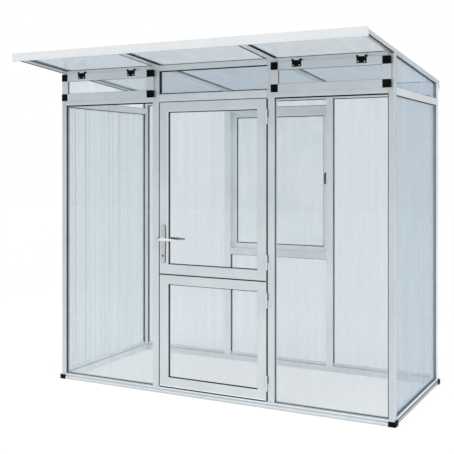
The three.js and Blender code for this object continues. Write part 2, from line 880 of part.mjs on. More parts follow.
function leafFrame(z0, z1) {
  return glazedFrame({
    x0: -xLeaf,
    x1: xLeaf,
    z0,
    z1,
    y: yFront,
    inward: 1,
    face: leafFace,
    depth: leafDepth,
    outer: [leafEdge],
    groove: leafGroove,
    bead: leafBead,
  });
}

// Guide or keeper of the bolt that joins the leaves: a block on the inner face with a bore
const yLeafBack = yFront + leafDepth;
const boltCentre = [-xLeaf + boltFromEdge, yLeafBack + guideDepth / 2];

function boltBlock(z0, z1) {
  const [x] = boltCentre;
  const outline = rectangle(x - guideWidth / 2, x + guideWidth / 2, yLeafBack - seam, yLeafBack + guideDepth);
  return extruded("z", outline, z0, z1);
}

const boltBore = (z0, z1) => roundBar("z", boltCentre, boltRadius + boltClearance, z0, z1);

// The latch's slot through the outer edge, and the spindle's hole, in the stile of the upper leaf
const xLever = -xLeaf + leverFromEdge;
const latchY0 = yFront + latchFromFront;

function latchSlot() {
  const outline = rectangle(
    -xLeaf - overrun,
    -xLeaf + leafChannel + profileWall + overrun,
    latchY0 - seam,
    latchY0 + latchWidth + seam,
  );
  const half = latchHeight / 2 + seam;
  return extruded("z", outline, leverHeight - half, leverHeight + half);
}

function upperLeafFrame() {
  const frame = cutBy(
    leafFrame(splitTop, leafTop),
    latchSlot(),
    roundBar("y", [xLever, leverHeight], spindleHoleRadius, yFront - overrun, yLeafBack + overrun),
  );
  const keeper = cutBy(
    boltBlock(splitTop + guideRise, splitTop + guideRise + keeperHeight),
    boltBore(splitTop, splitTop + guideRise + keeperHeight + overrun),
  );
  const hinges = doorHingeHeights.filter((z) => z > leafSplit).map(movingHinge);
  return joined(frame, keeper, ...hinges);
}

const guideTop = splitBottom - guideRise;

function lowerLeafFrame() {
  const guide = cutBy(
    boltBlock(guideTop - guideHeight, guideTop),
    boltBore(guideTop - guideHeight - overrun, guideTop + overrun),
  );
  const hinges = doorHingeHeights.filter((z) => z < leafSplit).map(movingHinge);
  return joined(leafFrame(leafBottom, splitBottom), guide, ...hinges);
}

function leafBolt() {
  const top = splitBottom - boltTopGap;
  const bottom = top - boltLength;
  const knobZ = bottom + boltKnobRadius;
  const [x, y] = boltCentre;
  return joined(
    roundBar("z", boltCentre, boltRadius, bottom, top),
    roundBar("y", [x, knobZ], boltKnobRadius, y, y + boltKnobReach),
  );
}

// Latch bolt with a bevelled nose. Its tail ends in the chamber of the stile, short of the spindle by
// more than its travel.
function latchBolt() {
  const nose = -xDoor - latchThrow;
  const tail = -xLeaf + latchTail;
  const y1 = latchY0 + latchWidth;
  const outline = [
    [nose, latchY0 + latchBevel],
    [nose + latchBevel, latchY0],
    [tail, latchY0],
    [tail, y1],
    [nose, y1],
  ];
  return extruded("z", outline, leverHeight - latchHeight / 2, leverHeight + latchHeight / 2);
}

// Outline of a lever in its own plane, tapered from root to tip, with rounded ends
function leverOutline(length, root, tip) {
  const points = [];
  const halfSteps = roundSides / 2;
  for (let i = 0; i <= halfSteps; i += 1) {
    const turn = Math.PI / 2 + (i / halfSteps) * Math.PI;
    points.push([(root / 2) * Math.cos(turn), (root / 2) * Math.sin(turn)]);
  }
  for (let i = 0; i <= halfSteps; i += 1) {
    const turn = -Math.PI / 2 + (i / halfSteps) * Math.PI;
    points.push([length + (tip / 2) * Math.cos(turn), (tip / 2) * Math.sin(turn)]);
  }
  return points;
}

// Both levers of the door with the spindle between them
function doorHandle() {
  const reach = leverLength - leverTipHeight / 2;
  const outline = leverOutline(reach, leverRootHeight, leverTipHeight);
  const placed = outline.map(([a, b]) => [xLever + a, leverHeight + b]);
  const outerPlate = yFront - plateThickness - seam;
  const innerPlate = yLeafBack + plateThickness + seam;
  const centre = [xLever, leverHeight];
  const half = spindleSize / 2;
  const square = rectangle(xLever - half, xLever + half, leverHeight - half, leverHeight + half);
  const outerGrip = outerPlate - seam - leverStandoff;
  const innerGrip = innerPlate + seam + leverStandoff;
  return joined(
    extruded("y", placed, outerGrip, outerGrip + leverThickness),
    extruded("y", placed, innerGrip - leverThickness, innerGrip),
    roundBar("y", centre, leverNeckRadius, outerGrip + seam, outerPlate - seam),
    roundBar("y", centre, leverNeckRadius, innerPlate + seam, innerGrip - seam),
    extruded("y", square, outerGrip + leverThickness / 2, innerGrip - leverThickness / 2),
  );
}

// Long plate with rounded ends, a hole for the spindle and the nose of the lock cylinder
function escutcheon(outward) {
  const yFace = outward < 0 ? yFront - seam : yLeafBack + seam;
  const yTop = yFace + outward * plateThickness;
  const half = plateWidth / 2;
  const low = leverHeight - plateBelowLever + half;
  const high = low + plateHeight - plateWidth;
  const ends = (radius) => {
    const points = [];
    const steps = roundSides / 2;
    for (const [middle, start] of [[high, 0], [low, Math.PI]]) {
      for (let i = 0; i <= steps; i += 1) {
        const turn = start + (i / steps) * Math.PI;
        points.push([xLever + radius * Math.cos(turn), middle + radius * Math.sin(turn)]);
      }
    }
    return points;
  };
  const slab = (radius, a, b) => extruded("y", ends(radius), Math.min(a, b), Math.max(a, b));
  const proud = yTop + outward * cylinderProud;
  const nose = [Math.min(yFace, proud), Math.max(yFace, proud)];
  const plate = joined(
    slab(half, yFace, yTop - outward * plateArris),
    slab(half - plateArris, yFace, yTop),
    roundBar("y", [xLever, leverHeight - cylinderBelowLever], cylinderRadius, ...nose),
  );
  const hole = roundBar(
    "y",
    [xLever, leverHeight],
    spindleHoleRadius,
    Math.min(yFace, yTop) - overrun,
    Math.max(yFace, yTop) + overrun,
  );
  return cutBy(plate, hole);
}

// Strap hinges. Their own frame has the pin along u, w up from the sash past its edge and n out of
// the wall; the origin is on the pin. A frame is a matrix from u, n, w to the house.
function strapKnuckle(frame, radius, from, to) {
  const outline = [];
  for (let i = 0; i < roundSides; i += 1) {
    const turn = ((i + 0.5) / roundSides) * 2 * Math.PI;
    outline.push(new THREE.Vector2(radius * Math.cos(turn), radius * Math.sin(turn)));
  }
  const shape = new THREE.Shape(outline);
  return alongPin(frame, shape, from, to);
}

function alongPin(frame, shape, from, to) {
  const geometry = new THREE.ExtrudeGeometry(shape, { depth: to - from, bevelEnabled: false });
  const turned = new THREE.Matrix4().makeBasis(Y, Z, X).setPosition(from, 0, 0);
  return solidOf(geometry, frame.clone().multiply(turned));
}

const pinBox = (n0, n1, w0, w1) =>
  new THREE.Shape(rectangle(n0, n1, w0, w1).map(([n, w]) => new THREE.Vector2(n, w)));

const strapMiddle = strapLength / 2 - strapEar - strapGap;

// Ears and pin, fixed to the wall
function strapFixed(frame) {
  const ears = [-1, 1].map((side) => {
    const a = side * (strapLength / 2);
    const b = side * (strapLength / 2 - strapEar);
    const [from, to] = [Math.min(a, b), Math.max(a, b)];
    const web = pinBox(-strapAxisOut - seam, 0, -strapKnuckleRadius, strapKnuckleRadius);
    return joined(strapKnuckle(frame, strapKnuckleRadius, from, to), alongPin(frame, web, from, to));
  });
  const pinEnd = strapLength / 2 - seam;
  return joined(...ears, strapKnuckle(frame, strapPinRadius, -pinEnd, pinEnd));
}

// Plate on the sash with the middle knuckle, bored for the pin
function strapMoving(frame) {
  const sashFront = sashSealGap + sashDepth - strapAxisOut;
  const plateTop = -strapKnuckleRadius - arris;
  const plate = pinBox(sashFront - seam, sashFront + strapThickness, -strapReach, plateTop);
  const tab = pinBox(sashFront - seam, sashFront + strapThickness, plateTop - arris, 0);
  const body = joined(
    alongPin(frame, plate, -strapLength / 2, strapLength / 2),
    alongPin(frame, tab, -strapMiddle, strapMiddle),
    strapKnuckle(frame, strapKnuckleRadius, -strapMiddle, strapMiddle),
  );
  const bore = strapPinRadius + strapPinClearance;
  return cutBy(body, strapKnuckle(frame, bore, -strapMiddle - overrun, strapMiddle + overrun));
}

// A sash lies on the outside of the wall and overlaps the opening all round. Black blocks join its
// corners.
function sashFrame(x0, x1, z0, z1, wallY, outward) {
  const y = wallY + outward * (sashSealGap + sashDepth);
  const paneAt = (sashDepth - paneThickness) / 2;
  const groove = { from: paneAt - seam, to: paneAt + paneThickness + seam, reach: -grooveDepth };
  const bead = arris;
  const sizes = { face: sashFace, depth: sashDepth, outer: [], groove, bead };
  const frame = glazedFrame({ x0, x1, z0, z1, y, inward: -outward, ...sizes });
  const proud = y + outward * cornerBlockProud;
  const sunk = y - outward * profileWall;
  const span = [Math.min(proud, sunk), Math.max(proud, sunk)];
  const blocks = [];
  for (const x of [x0, x1 - cornerBlock]) {
    for (const z of [z0, z1 - cornerBlock]) {
      blocks.push(chamferedBlock("y", x, x + cornerBlock, z, z + cornerBlock, arris, ...span));
    }
  }
  return joined(frame, ...blocks);
}

function sashPane(x0, x1, z0, z1, wallY, outward) {
  const middle = wallY + outward * (sashSealGap + sashDepth / 2);
  return framePane(x0, x1, z0, z1, sashFace, middle - paneThickness / 2);
}

// Vents of the side bays
const ventX0 = xMullion - ventInnerOverlap;
const ventX1 = xCornerFront + ventOuterOverlap;
const ventBottom = transomBottom + transomFace - ventLowerOverlap;
const ventTop = frontBeamBottom + ventUpperOverlap;
const ventMiddle = (ventX0 + ventX1) / 2;
const ventStrapPlaces = [-1, 1].flatMap((side) =>
  [-1, 1].map((end) => side * ventMiddle + (end * ventStrapSpacing) / 2),
);
const ventAxis = new THREE.Vector3(0, yFront - strapAxisOut, ventTop + strapAxisRise);

function ventStrapFrame(x) {
  const out = Y.clone().negate();
  return new THREE.Matrix4().makeBasis(X, out, Z).setPosition(x, ventAxis.y, ventAxis.z);
}

function vent(side) {
  const [x0, x1] = side < 0 ? [-ventX1, -ventX0] : [ventX0, ventX1];
  const name = side < 0 ? "vent_left" : "vent_right";
  const places = ventStrapPlaces.filter((x) => x * side > 0);
  const frame = sashFrame(x0, x1, ventBottom, ventTop, yFront, -1);
  const straps = places.map((x) => strapMoving(ventStrapFrame(x)));
  const pivot = new THREE.Vector3((x0 + x1) / 2, ventAxis.y, ventAxis.z);
  return bodyAt(
    pivot,
    meshOf(`${name}_frame`, joined(frame, ...straps), "aluminium"),
    meshOf(`${name}_pane`, sashPane(x0, x1, ventBottom, ventTop, yFront, -1), "glass"),
  );
}

// Window of the rear wall, hung on the left post seen from the door
const windowX = xDoor + windowOverlap;
const windowBottom = windowSillBottom + windowSillFace - windowOverlap;
const windowTop = windowHeadBottom + windowOverlap;
const windowAxis = new THREE.Vector3(-windowX - strapAxisRise, yRear + strapAxisOut, 0);
const windowStrapPlaces = [windowBottom + windowStrapFromEnd, windowTop - windowStrapFromEnd];

function windowStrapFrame(z) {
  const past = X.clone().negate();
  return new THREE.Matrix4().makeBasis(Z, Y, past).setPosition(windowAxis.x, windowAxis.y, z);
}

const xWindowHandle = xDoor - windowHandleFromOpening;
const windowHandleHeight = (windowBottom + windowTop) / 2 + windowHandleRise;
const ySashInside = yRear + sashSealGap;

function windowFrame() {
  const frame = sashFrame(-windowX, windowX, windowBottom, windowTop, yRear, 1);
  const rose = roundBar(
    "y",
    [xWindowHandle, windowHandleHeight],
    windowRoseRadius,
    ySashInside - windowRoseThickness,
    ySashInside + seam,
  );
  return joined(frame, rose, ...windowStrapPlaces.map((z) => strapMoving(windowStrapFrame(z))));
}

function windowHandle() {
  const yRose = ySashInside - windowRoseThickness - seam;
  const yGrip = yRose - windowHandleStandoff;
  const outline = leverOutline(windowHandleLength - windowHandleTip / 2, windowHandleRoot, windowHandleTip);
  const hanging = outline.map(([a, b]) => [xWindowHandle + b, windowHandleHeight - a]);
  const centre = [xWindowHandle, windowHandleHeight];
  return joined(
    extruded("y", hanging, yGrip, yGrip + windowHandleThickness),
    roundBar("y", centre, windowHandleNeckRadius, yGrip + seam, yRose),
  );
}

function windowPost(side) {
  const x0 = side < 0 ? -xMullion : xDoor;
  const grooves = [[sheetGroove], [sheetGroove]];
  const top = rearBeamBottom - seam;
  const bar = post(planRear(x0), mullionFace, ...grooves, sillHeight + seam, top);
  const upright = cutBy(bar, sillUpstandSpace(x0, x0 + mullionFace));
  if (side > 0) {
    return upright;
  }
  return joined(upright, ...windowStrapPlaces.map((z) => strapFixed(windowStrapFrame(z))));
}

// The rear posts are notched round the sill's upstand
function sillUpstandSpace(x0, x1) {
  const y0 = yRear - sheetGroove.to - sillWall - seam;
  const y1 = yRear - sheetGroove.to + seam;
  const outline = rectangle(y0, y1, 0, sillUpstand + seam);
  return extruded("x", outline, x0 - overrun, x1 + overrun);
}

// The whole house
const house = new THREE.Group();
const add = (name, solid, finish) => house.add(meshOf(name, solid, finish));

add("sill_front", sillAcross(true), "aluminium");
add("sill_rear", sillAcross(false), "aluminium");

for (const [side, word] of [[-1, "left"], [1, "right"]]) {
  add(`sill_${word}`, sillAlong(side), "aluminium");
  add(`foot_front_${word}`, cornerFoot(side, true), "black");
  add(`foot_rear_${word}`, cornerFoot(side, false), "black");
  add(`post_front_${word}`, cornerPost(side, true), "aluminium");
  add(`post_rear_${word}`, cornerPost(side, false), "aluminium");
  add(`post_door_${word}`, doorPost(side), "aluminium");
  add(`post_window_${word}`, windowPost(side), "aluminium");
  add(`rail_side_${word}`, sideRail(side), "aluminium");
  add(`side_sheet_${word}`, sideSheet(side), "sheet");
  add(`gable_sheet_${word}`, gableSheet(side), "sheet");

  const [bay0, bay1] = side < 0 ? [-xCornerFront, -xMullion] : [xMullion, xCornerFront];
  const transom = railAcross("front", bay0, bay1, transomBottom, transomFace, [paneGroove], []);
  add(`transom_${word}`, transom, "aluminium");
  add(`pane_front_${word}`, frontPane(bay0, bay1, sillHeight, transomBottom), "glass");

  const [rear0, rear1] = side < 0 ? [-xCornerRear, -xMullion] : [xMullion, xCornerRear];
  add(`rear_sheet_${word}`, rearSheet(rear0, rear1, sillHeight, rearBeamBottom), "sheet");
}

const doorTransom = railAcross(
  "front",
  -xDoor,
  xDoor,
  transomBottom,
  transomFace,
  [doorStop],
  [paneGroove],
);
add("transom_door", doorTransom, "aluminium");
add("fanlight_pane", frontPane(-xDoor, xDoor, transomBottom + transomFace, frontBeamBottom), "glass");
add("beam_front", beamFront(), "aluminium");
add("beam_rear", beamRear(), "aluminium");

const windowHead = railAcross("rear", -xDoor, xDoor, windowHeadBottom, windowHeadFace, [], [sheetGroove]);
const windowSill = railAcross("rear", -xDoor, xDoor, windowSillBottom, windowSillFace, [sheetGroove], []);
add("window_head_rail", windowHead, "aluminium");
add("window_sill_rail", windowSill, "aluminium");
add("rear_sheet_lower", rearSheet(-xDoor, xDoor, sillHeight, windowSillBottom), "sheet");
const overWindow = rearSheet(-xDoor, xDoor, windowHeadBottom + windowHeadFace, rearBeamBottom);
add("rear_sheet_upper", overWindow, "sheet");
add("fascia_front", fascia(), "fascia");

// Roof, in its own sloping frame
const roof = new THREE.Group();
roof.applyMatrix4(roofMatrix());
roof.add(
  meshOf("rafter_left", endRafter(-1), "aluminium"),
  meshOf("rafter_middle_left", middleRafter(-xMullion), "aluminium"),
  meshOf("rafter_middle_right", middleRafter(xDoor), "aluminium"),
  meshOf("rafter_right", endRafter(1), "aluminium"),
  meshOf("roof_sheet_left", roofSheet(-xCornerFront, -xMullion), "sheet"),
  meshOf("roof_sheet_middle", roofSheet(-xDoor, xDoor), "sheet"),
  meshOf("roof_sheet_right", roofSheet(xMullion, xCornerFront), "sheet"),
);
house.add(roof);

// Door: the upper leaf with its lever set, and the lower leaf with its bolt
const leafPane = (z0, z1) => framePane(-xLeaf, xLeaf, z0, z1, leafFace, yFront + leafPaneAt);
const handleAxis = new THREE.Vector3(xLever, yFront, leverHeight);
const boltPlace = new THREE.Vector3(boltCentre[0], boltCentre[1], splitBottom);
house.add(
  bodyAt(
    hingeAxis,
    meshOf("door_upper_frame", upperLeafFrame(), "aluminium"),
    meshOf("door_upper_pane", leafPane(splitTop, leafTop), "glass"),
    meshOf("escutcheon_outer", escutcheon(-1), "steel"),
    meshOf("escutcheon_inner", escutcheon(1), "steel"),
  ),
  bodyAt(handleAxis, meshOf("door_handle", doorHandle(), "steel")),
  bodyAt(handleAxis, meshOf("latch_bolt", latchBolt(), "steel")),
  bodyAt(
    hingeAxis,
    meshOf("door_lower_frame", lowerLeafFrame(), "aluminium"),
    meshOf("door_lower_pane", leafPane(leafBottom, splitBottom), "glass"),
  ),
  bodyAt(boltPlace, meshOf("leaf_bolt", leafBolt(), "steel")),
);

// Vents and window
const windowPane = sashPane(-windowX, windowX, windowBottom, windowTop, yRear, 1);
house.add(
  vent(-1),
  vent(1),
  bodyAt(
    windowAxis,
    meshOf("window_frame", windowFrame(), "aluminium"),
    meshOf("window_pane", windowPane, "glass"),
  ),
  bodyAt(
    new THREE.Vector3(xWindowHandle, ySashInside, windowHandleHeight),
    meshOf("window_handle", windowHandle(), "black"),
  ),
);

export default house;
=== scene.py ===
"""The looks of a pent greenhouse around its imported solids: profiles, seals, twin-wall sheets with
their ribs, corner joints, hinges, levers, finishes, studio and camera. +Z is up, +X to the right
seen from the door, +Y from the door wall to the rear wall. Lengths are in millimetres, but for
the floor, the lights, the camera and what reaches a mesh or a material, which are in metres."""

import math
from functools import cached_property

import bmesh
import bpy
import numpy as np
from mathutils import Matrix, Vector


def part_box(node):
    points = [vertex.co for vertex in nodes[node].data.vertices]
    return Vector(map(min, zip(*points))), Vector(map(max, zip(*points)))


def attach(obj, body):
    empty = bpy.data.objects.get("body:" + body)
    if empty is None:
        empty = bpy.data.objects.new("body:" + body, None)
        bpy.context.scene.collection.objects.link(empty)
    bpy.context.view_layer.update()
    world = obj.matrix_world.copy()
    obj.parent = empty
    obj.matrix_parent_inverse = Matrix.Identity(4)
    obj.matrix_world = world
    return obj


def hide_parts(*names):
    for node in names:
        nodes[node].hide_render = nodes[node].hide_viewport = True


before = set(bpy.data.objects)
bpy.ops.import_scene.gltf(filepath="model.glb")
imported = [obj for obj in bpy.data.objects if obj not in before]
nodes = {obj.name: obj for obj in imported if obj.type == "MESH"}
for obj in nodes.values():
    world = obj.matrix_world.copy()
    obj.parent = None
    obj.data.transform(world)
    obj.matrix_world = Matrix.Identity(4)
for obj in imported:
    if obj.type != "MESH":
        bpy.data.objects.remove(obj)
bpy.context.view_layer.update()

MM = 0.001
X_AXIS, Y_AXIS, Z_AXIS = np.eye(3)
FRONT, REAR = -Y_AXIS, Y_AXIS
SIDES = {"left": -1.0, "right": 1.0}


def box_mm(node):
    """Lowest and highest corner of a solid in millimetres."""
    low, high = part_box(node)
    return np.array(low) / MM, np.array(high) / MM


# ---------------------------------------------------------------- places
post_low, post_high = box_mm("post_front_right")
WALL_FRONT, WALL_SIDE = post_low[1], post_high[0]
WALL_DEPTH = post_high[1] - WALL_FRONT
WALL_REAR = box_mm("post_rear_right")[1][1]
# How far a groove covers the edge of its pane or sheet
BITE = 9.0
# Half the door's opening, the ends of its upright seals, and the top of the lower leaf
DOOR_HALF, DOOR_LOW, DOOR_HIGH = 412.0, 46.0, 2004.0
LEAF_SPLIT = 819.0
HINGE_X, HINGE_Y = 409.0, -319.1
HINGE_MIDDLES = (162.0, 698.0, 944.0, 1888.0)
LEVER_X, LEVER_Z = -375.0, 1062.0
# How far the frame of a leaf, and that of a vent or the window, stands out past its pane
LEAF_FACE, SASH_FACE = 58.0, 41.0
# The rafters' tops fall from front to rear; under them lie the sheets' two faces and the
# rafters' undersides
ROOF_FRONT, ROOF_FALL, ROOF_DEPTH = 2328.0, 146.0, 1685.0
SHEET_OVER, SHEET_UNDER, RAFTER_UNDER = 6.0, 16.0, 30.0
# Middle and half width of a middle rafter, and the inner face of an end rafter
RAFTER_X, RAFTER_HALF, END_RAFTER_X = 437.0, 25.0, 1216.0
ROOF_SLOPE = math.atan2(ROOF_FALL, ROOF_DEPTH)
ROOF_ALONG = np.array([0.0, math.cos(ROOF_SLOPE), -math.sin(ROOF_SLOPE)])
ROOF_OUT = np.array([0.0, math.sin(ROOF_SLOPE), math.cos(ROOF_SLOPE)])
ROOF_ORIGIN = np.array([0.0, -ROOF_DEPTH / 2, ROOF_FRONT])
# Where the sheets start and end along the slope, clear of the fascia and of the rear edge
ROOF_START = 2.8 / math.cos(ROOF_SLOPE) + RAFTER_UNDER * math.tan(ROOF_SLOPE)
ROOF_END = (ROOF_DEPTH - 3.3) / math.cos(ROOF_SLOPE)


def roof_plane(y, drop):
    """Height of a plane under the rafters' tops, at a place from front to rear."""
    return ROOF_FRONT - (y + ROOF_DEPTH / 2) * math.tan(ROOF_SLOPE) - drop / math.cos(ROOF_SLOPE)


# ---------------------------------------------------------------- shader building
def rgb(red, green, blue):
    """An opaque colour."""
    return (red, green, blue, 1.0)


def near_grey(red, green, blue):
    """A colour whose green and blue are given as multiples of its red."""
    return rgb(red, green * red, blue * red)


def stretched(run, along, across):
    """Scale of a pattern along its run, and across it along the other two axes."""
    return tuple(along if axis == run else across for axis in "xyz")


class Finish:
    """A material, or a world, whose node tree is written one node at a time."""

    def __init__(self, name, kind="materials"):
        self.owner = getattr(bpy.data, kind).new(name)
        self.owner.use_nodes = True
        self.tree = self.owner.node_tree
        self.tree.nodes.clear()
        self.last = "OutputWorld" if kind == "worlds" else "OutputMaterial"

    @cached_property
    def place(self):
        """Object coordinates."""
        return self.add("TexCoord").outputs["Object"]

    def add(self, kind, settings=None, **sockets):
        """One node; a socket's value is a number, a colour or another node's output. A socket is
        named by its name, or by i and its number."""
        node = self.tree.nodes.new("ShaderNode" + kind)
        for name, value in (settings or {}).items():
            setattr(node, name, value)
        for name, value in sockets.items():
            key = int(name[1:]) if name[1:].isdigit() else name.replace("_", " ")
            socket = node.inputs[key]
            if isinstance(value, bpy.types.NodeSocket):
                self.tree.links.new(value, socket)
            else:
                socket.default_value = value
        return node

    def math(self, operation, a, b=0.0):
        """One operation on one or two numbers."""
        return self.add("Math", {"operation": operation}, i0=a, i1=b).outputs[0]

    def plus(self, a, b):
        """a + b."""
        return self.math("ADD", a, b)

    def minus(self, a, b):
        """a - b."""
        return self.math("SUBTRACT", a, b)

    def times(self, a, b):
        """a times b."""
        return self.math("MULTIPLY", a, b)

    def size(self, a):
        """a without its sign."""
        return self.math("ABSOLUTE", a)

    def scaled(self, scale):
        """Object coordinates stretched by a scale along each axis."""
        return self.add("Mapping", Vector=self.place, Scale=scale).outputs[0]

    def noise(self, vector, scale, detail, roughness):
        """A cloudy pattern between 0 and 1."""
        sockets = {"Scale": scale, "Detail": detail, "Roughness": roughness}
        return self.add("TexNoise", Vector=vector, **sockets).outputs["Fac"]

    def spread(self, value, low, high, start=0.3, end=0.7):
        """From low to high in step with a value from start to end, and level beyond them."""
        ends = {"i1": start, "i2": end, "i3": low, "i4": high}
        return self.add("MapRange", {"clamp": True}, Value=value, **ends).outputs[0]

    def mix(self, share, a, b):
        """A colour between two colours."""
        return self.add("Mix", {"data_type": "RGBA"}, i0=share, i6=a, i7=b).outputs[2]

    def axes(self):
        """The three object coordinates, one by one."""
        return self.add("SeparateXYZ", Vector=self.place).outputs

    def rounded(self, radius):
        """Normal of the surface with its arrises rounded."""
        return self.add("Bevel", {"samples": 4}, Radius=radius * MM).outputs[0]

    def worn(self, rounded, most):
        """A share up to most on the arrises, where the rounded normal leaves the flat one."""
        flat = self.add("NewGeometry").outputs["Normal"]
        turned_by = self.add("VectorMath", {"operation": "DOT_PRODUCT"}, i0=rounded, i1=flat)
        return self.spread(turned_by.outputs["Value"], most, 0.0, 0.86, 0.985)

    def bump(self, height, distance, strength, **normal):
        """Normal bent by a height pattern of a depth in millimetres."""
        sockets = {"Height": height, "Distance": distance * MM, "Strength": strength}
        return self.add("Bump", **sockets, **normal).outputs[0]

    def glance(self, ior, share=1.0):
        """Mirror share that grows at grazing angles, on the faces met from outside only."""
        grazing = self.add("Fresnel", IOR=ior).outputs[0]
        outer = self.minus(1.0, self.add("NewGeometry").outputs["Backfacing"])
        return self.times(grazing, self.times(outer, share))

    def shader(self, kind, **sockets):
        """The output of one shader node."""
        return self.add(kind, **sockets).outputs[0]

    def blend(self, share, a, b):
        """A shader between two shaders."""
        return self.shader("MixShader", i0=share, i1=a, i2=b)

    def finish(self, shader):
        """The material or world, with its tree closed by a shader."""
        self.add(self.last, Surface=shader)
        return self.owner

    def opaque(self, **sockets):
        """The finished material of a solid skin."""
        return self.finish(self.shader("BsdfPrincipled", **sockets))

    def lit_through(self, surface, passes):
        """The finished material of a pane: the surface as seen, and for lamp light the share
        that it lets pass."""
        bare = self.shader("BsdfTransparent", Color=passes)
        shadow = self.add("LightPath").outputs["Is Shadow Ray"]
        return self.finish(self.blend(shadow, surface, bare))


# ---------------------------------------------------------------- finishes
def die_lines(f, run):
    """Fine lines that the die leaves along a profile."""
    return f.noise(f.scaled(stretched(run, 3.0, 900.0)), 1.0, 2.0, 0.6)


def mitred_lines(f, mitre):
    """Die lines that turn at each corner of a frame, and the fine seam on its diagonals. A point
    is on a stile where it lies further past the frame's outer rectangle to the side than to the
    end, and on the seam where both are the same."""
    middle_x, middle_z, half_x, half_z = mitre
    x, _, z = f.axes()
    from_side = f.minus(f.size(f.minus(x, middle_x)), half_x)
    from_end = f.minus(f.size(f.minus(z, middle_z)), half_z)
    beyond = f.minus(from_side, from_end)
    stile = f.math("GREATER_THAN", beyond, 0.0)
    upright = f.times(die_lines(f, "z"), stile)
    across = f.times(die_lines(f, "x"), f.minus(1.0, stile))
    return f.plus(upright, across), f.spread(f.size(beyond), 1.0, 0.0, 0.15 * MM, 0.7 * MM)


def aluminium(name, run, tone, mitre=None):
    """Satin anodised profile: cloudy tone, die lines along its run, brighter arrises, and in a
    mitred frame lines that turn at each corner with a fine seam on the diagonal."""
    f = Finish(name)
    rounded = f.rounded(0.7)
    clouds = f.noise(f.scaled((2.2, 2.2, 1.4)), 2.0, 4.0, 0.6)
    lines, seam = mitred_lines(f, mitre) if mitre else (die_lines(f, run), None)
    dark = rgb(*(0.93 * c for c in tone[:3]))
    light = rgb(*(min(1.0, 1.05 * c) for c in tone[:3]))
    colour = f.mix(f.spread(clouds, 0.0, 1.0), dark, light)
    colour = f.mix(f.spread(lines, 0.0, 0.3, 0.35, 0.75), colour, light)
    worn = f.worn(rounded, 1.0)
    colour = f.mix(f.times(worn, 0.5), colour, rgb(0.8, 0.81, 0.82))
    height = lines
    if seam is not None:
        colour = f.mix(f.times(seam, 0.55), colour, rgb(0.2, 0.205, 0.21))
        height = f.minus(lines, f.times(seam, 3.0))
    return f.opaque(
        Base_Color=colour,
        Roughness=f.plus(f.spread(lines, 0.35, 0.46), f.times(worn, -0.06)),
        Normal=f.bump(height, 0.03, 0.5, Normal=rounded),
        Metallic=0.55,
        IOR=1.5,
    )


def frame_finish(name, node, face, tone):
    """Finish of a mitred frame, with its corners on the diagonals of its outer rectangle, which
    stands out past its pane by a face."""
    low, high = box_mm(node)
    middle, half = (low + high) / 2 * MM, ((high - low) / 2 + face) * MM
    return aluminium(name, None, tone, (middle[0], middle[2], half[0], half[2]))


def powder_coat(name):
    """White powder coat: orange peel at two scales over a slightly cloudy tone."""
    f = Finish(name)
    peel = f.noise(f.place, 700.0, 2.0, 0.5)
    fine = f.noise(f.place, 2600.0, 1.0, 0.5)
    clouds = f.spread(f.noise(f.place, 3.0, 4.0, 0.6), 0.0, 1.0, 0.35)
    colour = f.mix(clouds, rgb(0.79, 0.8, 0.805), rgb(0.83, 0.838, 0.842))
    return f.opaque(
        Base_Color=f.mix(f.spread(fine, 0.0, 0.1, 0.3, 0.8), colour, rgb(0.7, 0.705, 0.71)),
        Roughness=f.spread(peel, 0.3, 0.42),
        Normal=f.bump(peel, 0.02, 0.6, Normal=f.rounded(0.9)),
        IOR=1.5,
    )


def moulded_plastic(name, tone):
    """Moulded plastic: fine spark grain, faint flow marks and paler rubbed edges."""
    f = Finish(name)
    rounded = f.rounded(0.5)
    grain = f.noise(f.place, 3200.0, 2.0, 0.6)
    flow = f.spread(f.noise(f.scaled((60.0, 60.0, 14.0)), 1.0, 3.0, 0.6), 0.0, 1.0, 0.35)
    colour = f.mix(flow, near_grey(tone, 1.0, 1.05), rgb(2.2 * tone, 2.2 * tone, 2.3 * tone))
    return f.opaque(
        Base_Color=f.mix(f.worn(rounded, 0.35), colour, rgb(0.035, 0.036, 0.038)),
        Roughness=f.spread(grain, 0.46, 0.64),
        Normal=f.bump(grain, 0.04, 0.7, Normal=rounded),
        Specular_IOR_Level=0.06,
        IOR=1.49,
    )


def extruded_rubber(name, low, high):
    """Extruded seal: a tone between low and high in soft patches of bloom, and a fine grain."""
    f = Finish(name)
    bloom = f.spread(f.noise(f.place, 9.0, 4.0, 0.6), 0.0, 1.0, 0.35)
    skin = f.noise(f.place, 1500.0, 2.0, 0.6)
    return f.opaque(
        Base_Color=f.mix(bloom, near_grey(low, 1.04, 1.1), near_grey(high, 1.04, 1.1)),
        Roughness=f.spread(skin, 0.6, 0.8),
        Normal=f.bump(skin, 0.03, 0.6),
        Specular_IOR_Level=0.15,
        IOR=1.52,
    )


def brushed_steel(name, run, tone):
    """Brushed stainless steel: short scratches along one way, smudges in the roughness."""
    f = Finish(name)
    hair = f.noise(f.scaled(stretched(run, 60.0, 2400.0)), 1.0, 3.0, 0.6)
    smudge = f.spread(f.noise(f.place, 45.0, 3.0, 0.6), 0.0, 0.08, 0.4)
    dark, light = near_grey(0.74 * tone, 1.01, 1.02), near_grey(tone, 1.01, 1.02)
    return f.opaque(
        Base_Color=f.mix(f.spread(hair, 0.0, 1.0), dark, light),
        Metallic=1.0,
        Roughness=f.plus(f.spread(hair, 0.22, 0.34), smudge),
        Normal=f.bump(hair, 0.015, 0.6, Normal=f.rounded(0.4)),
    )


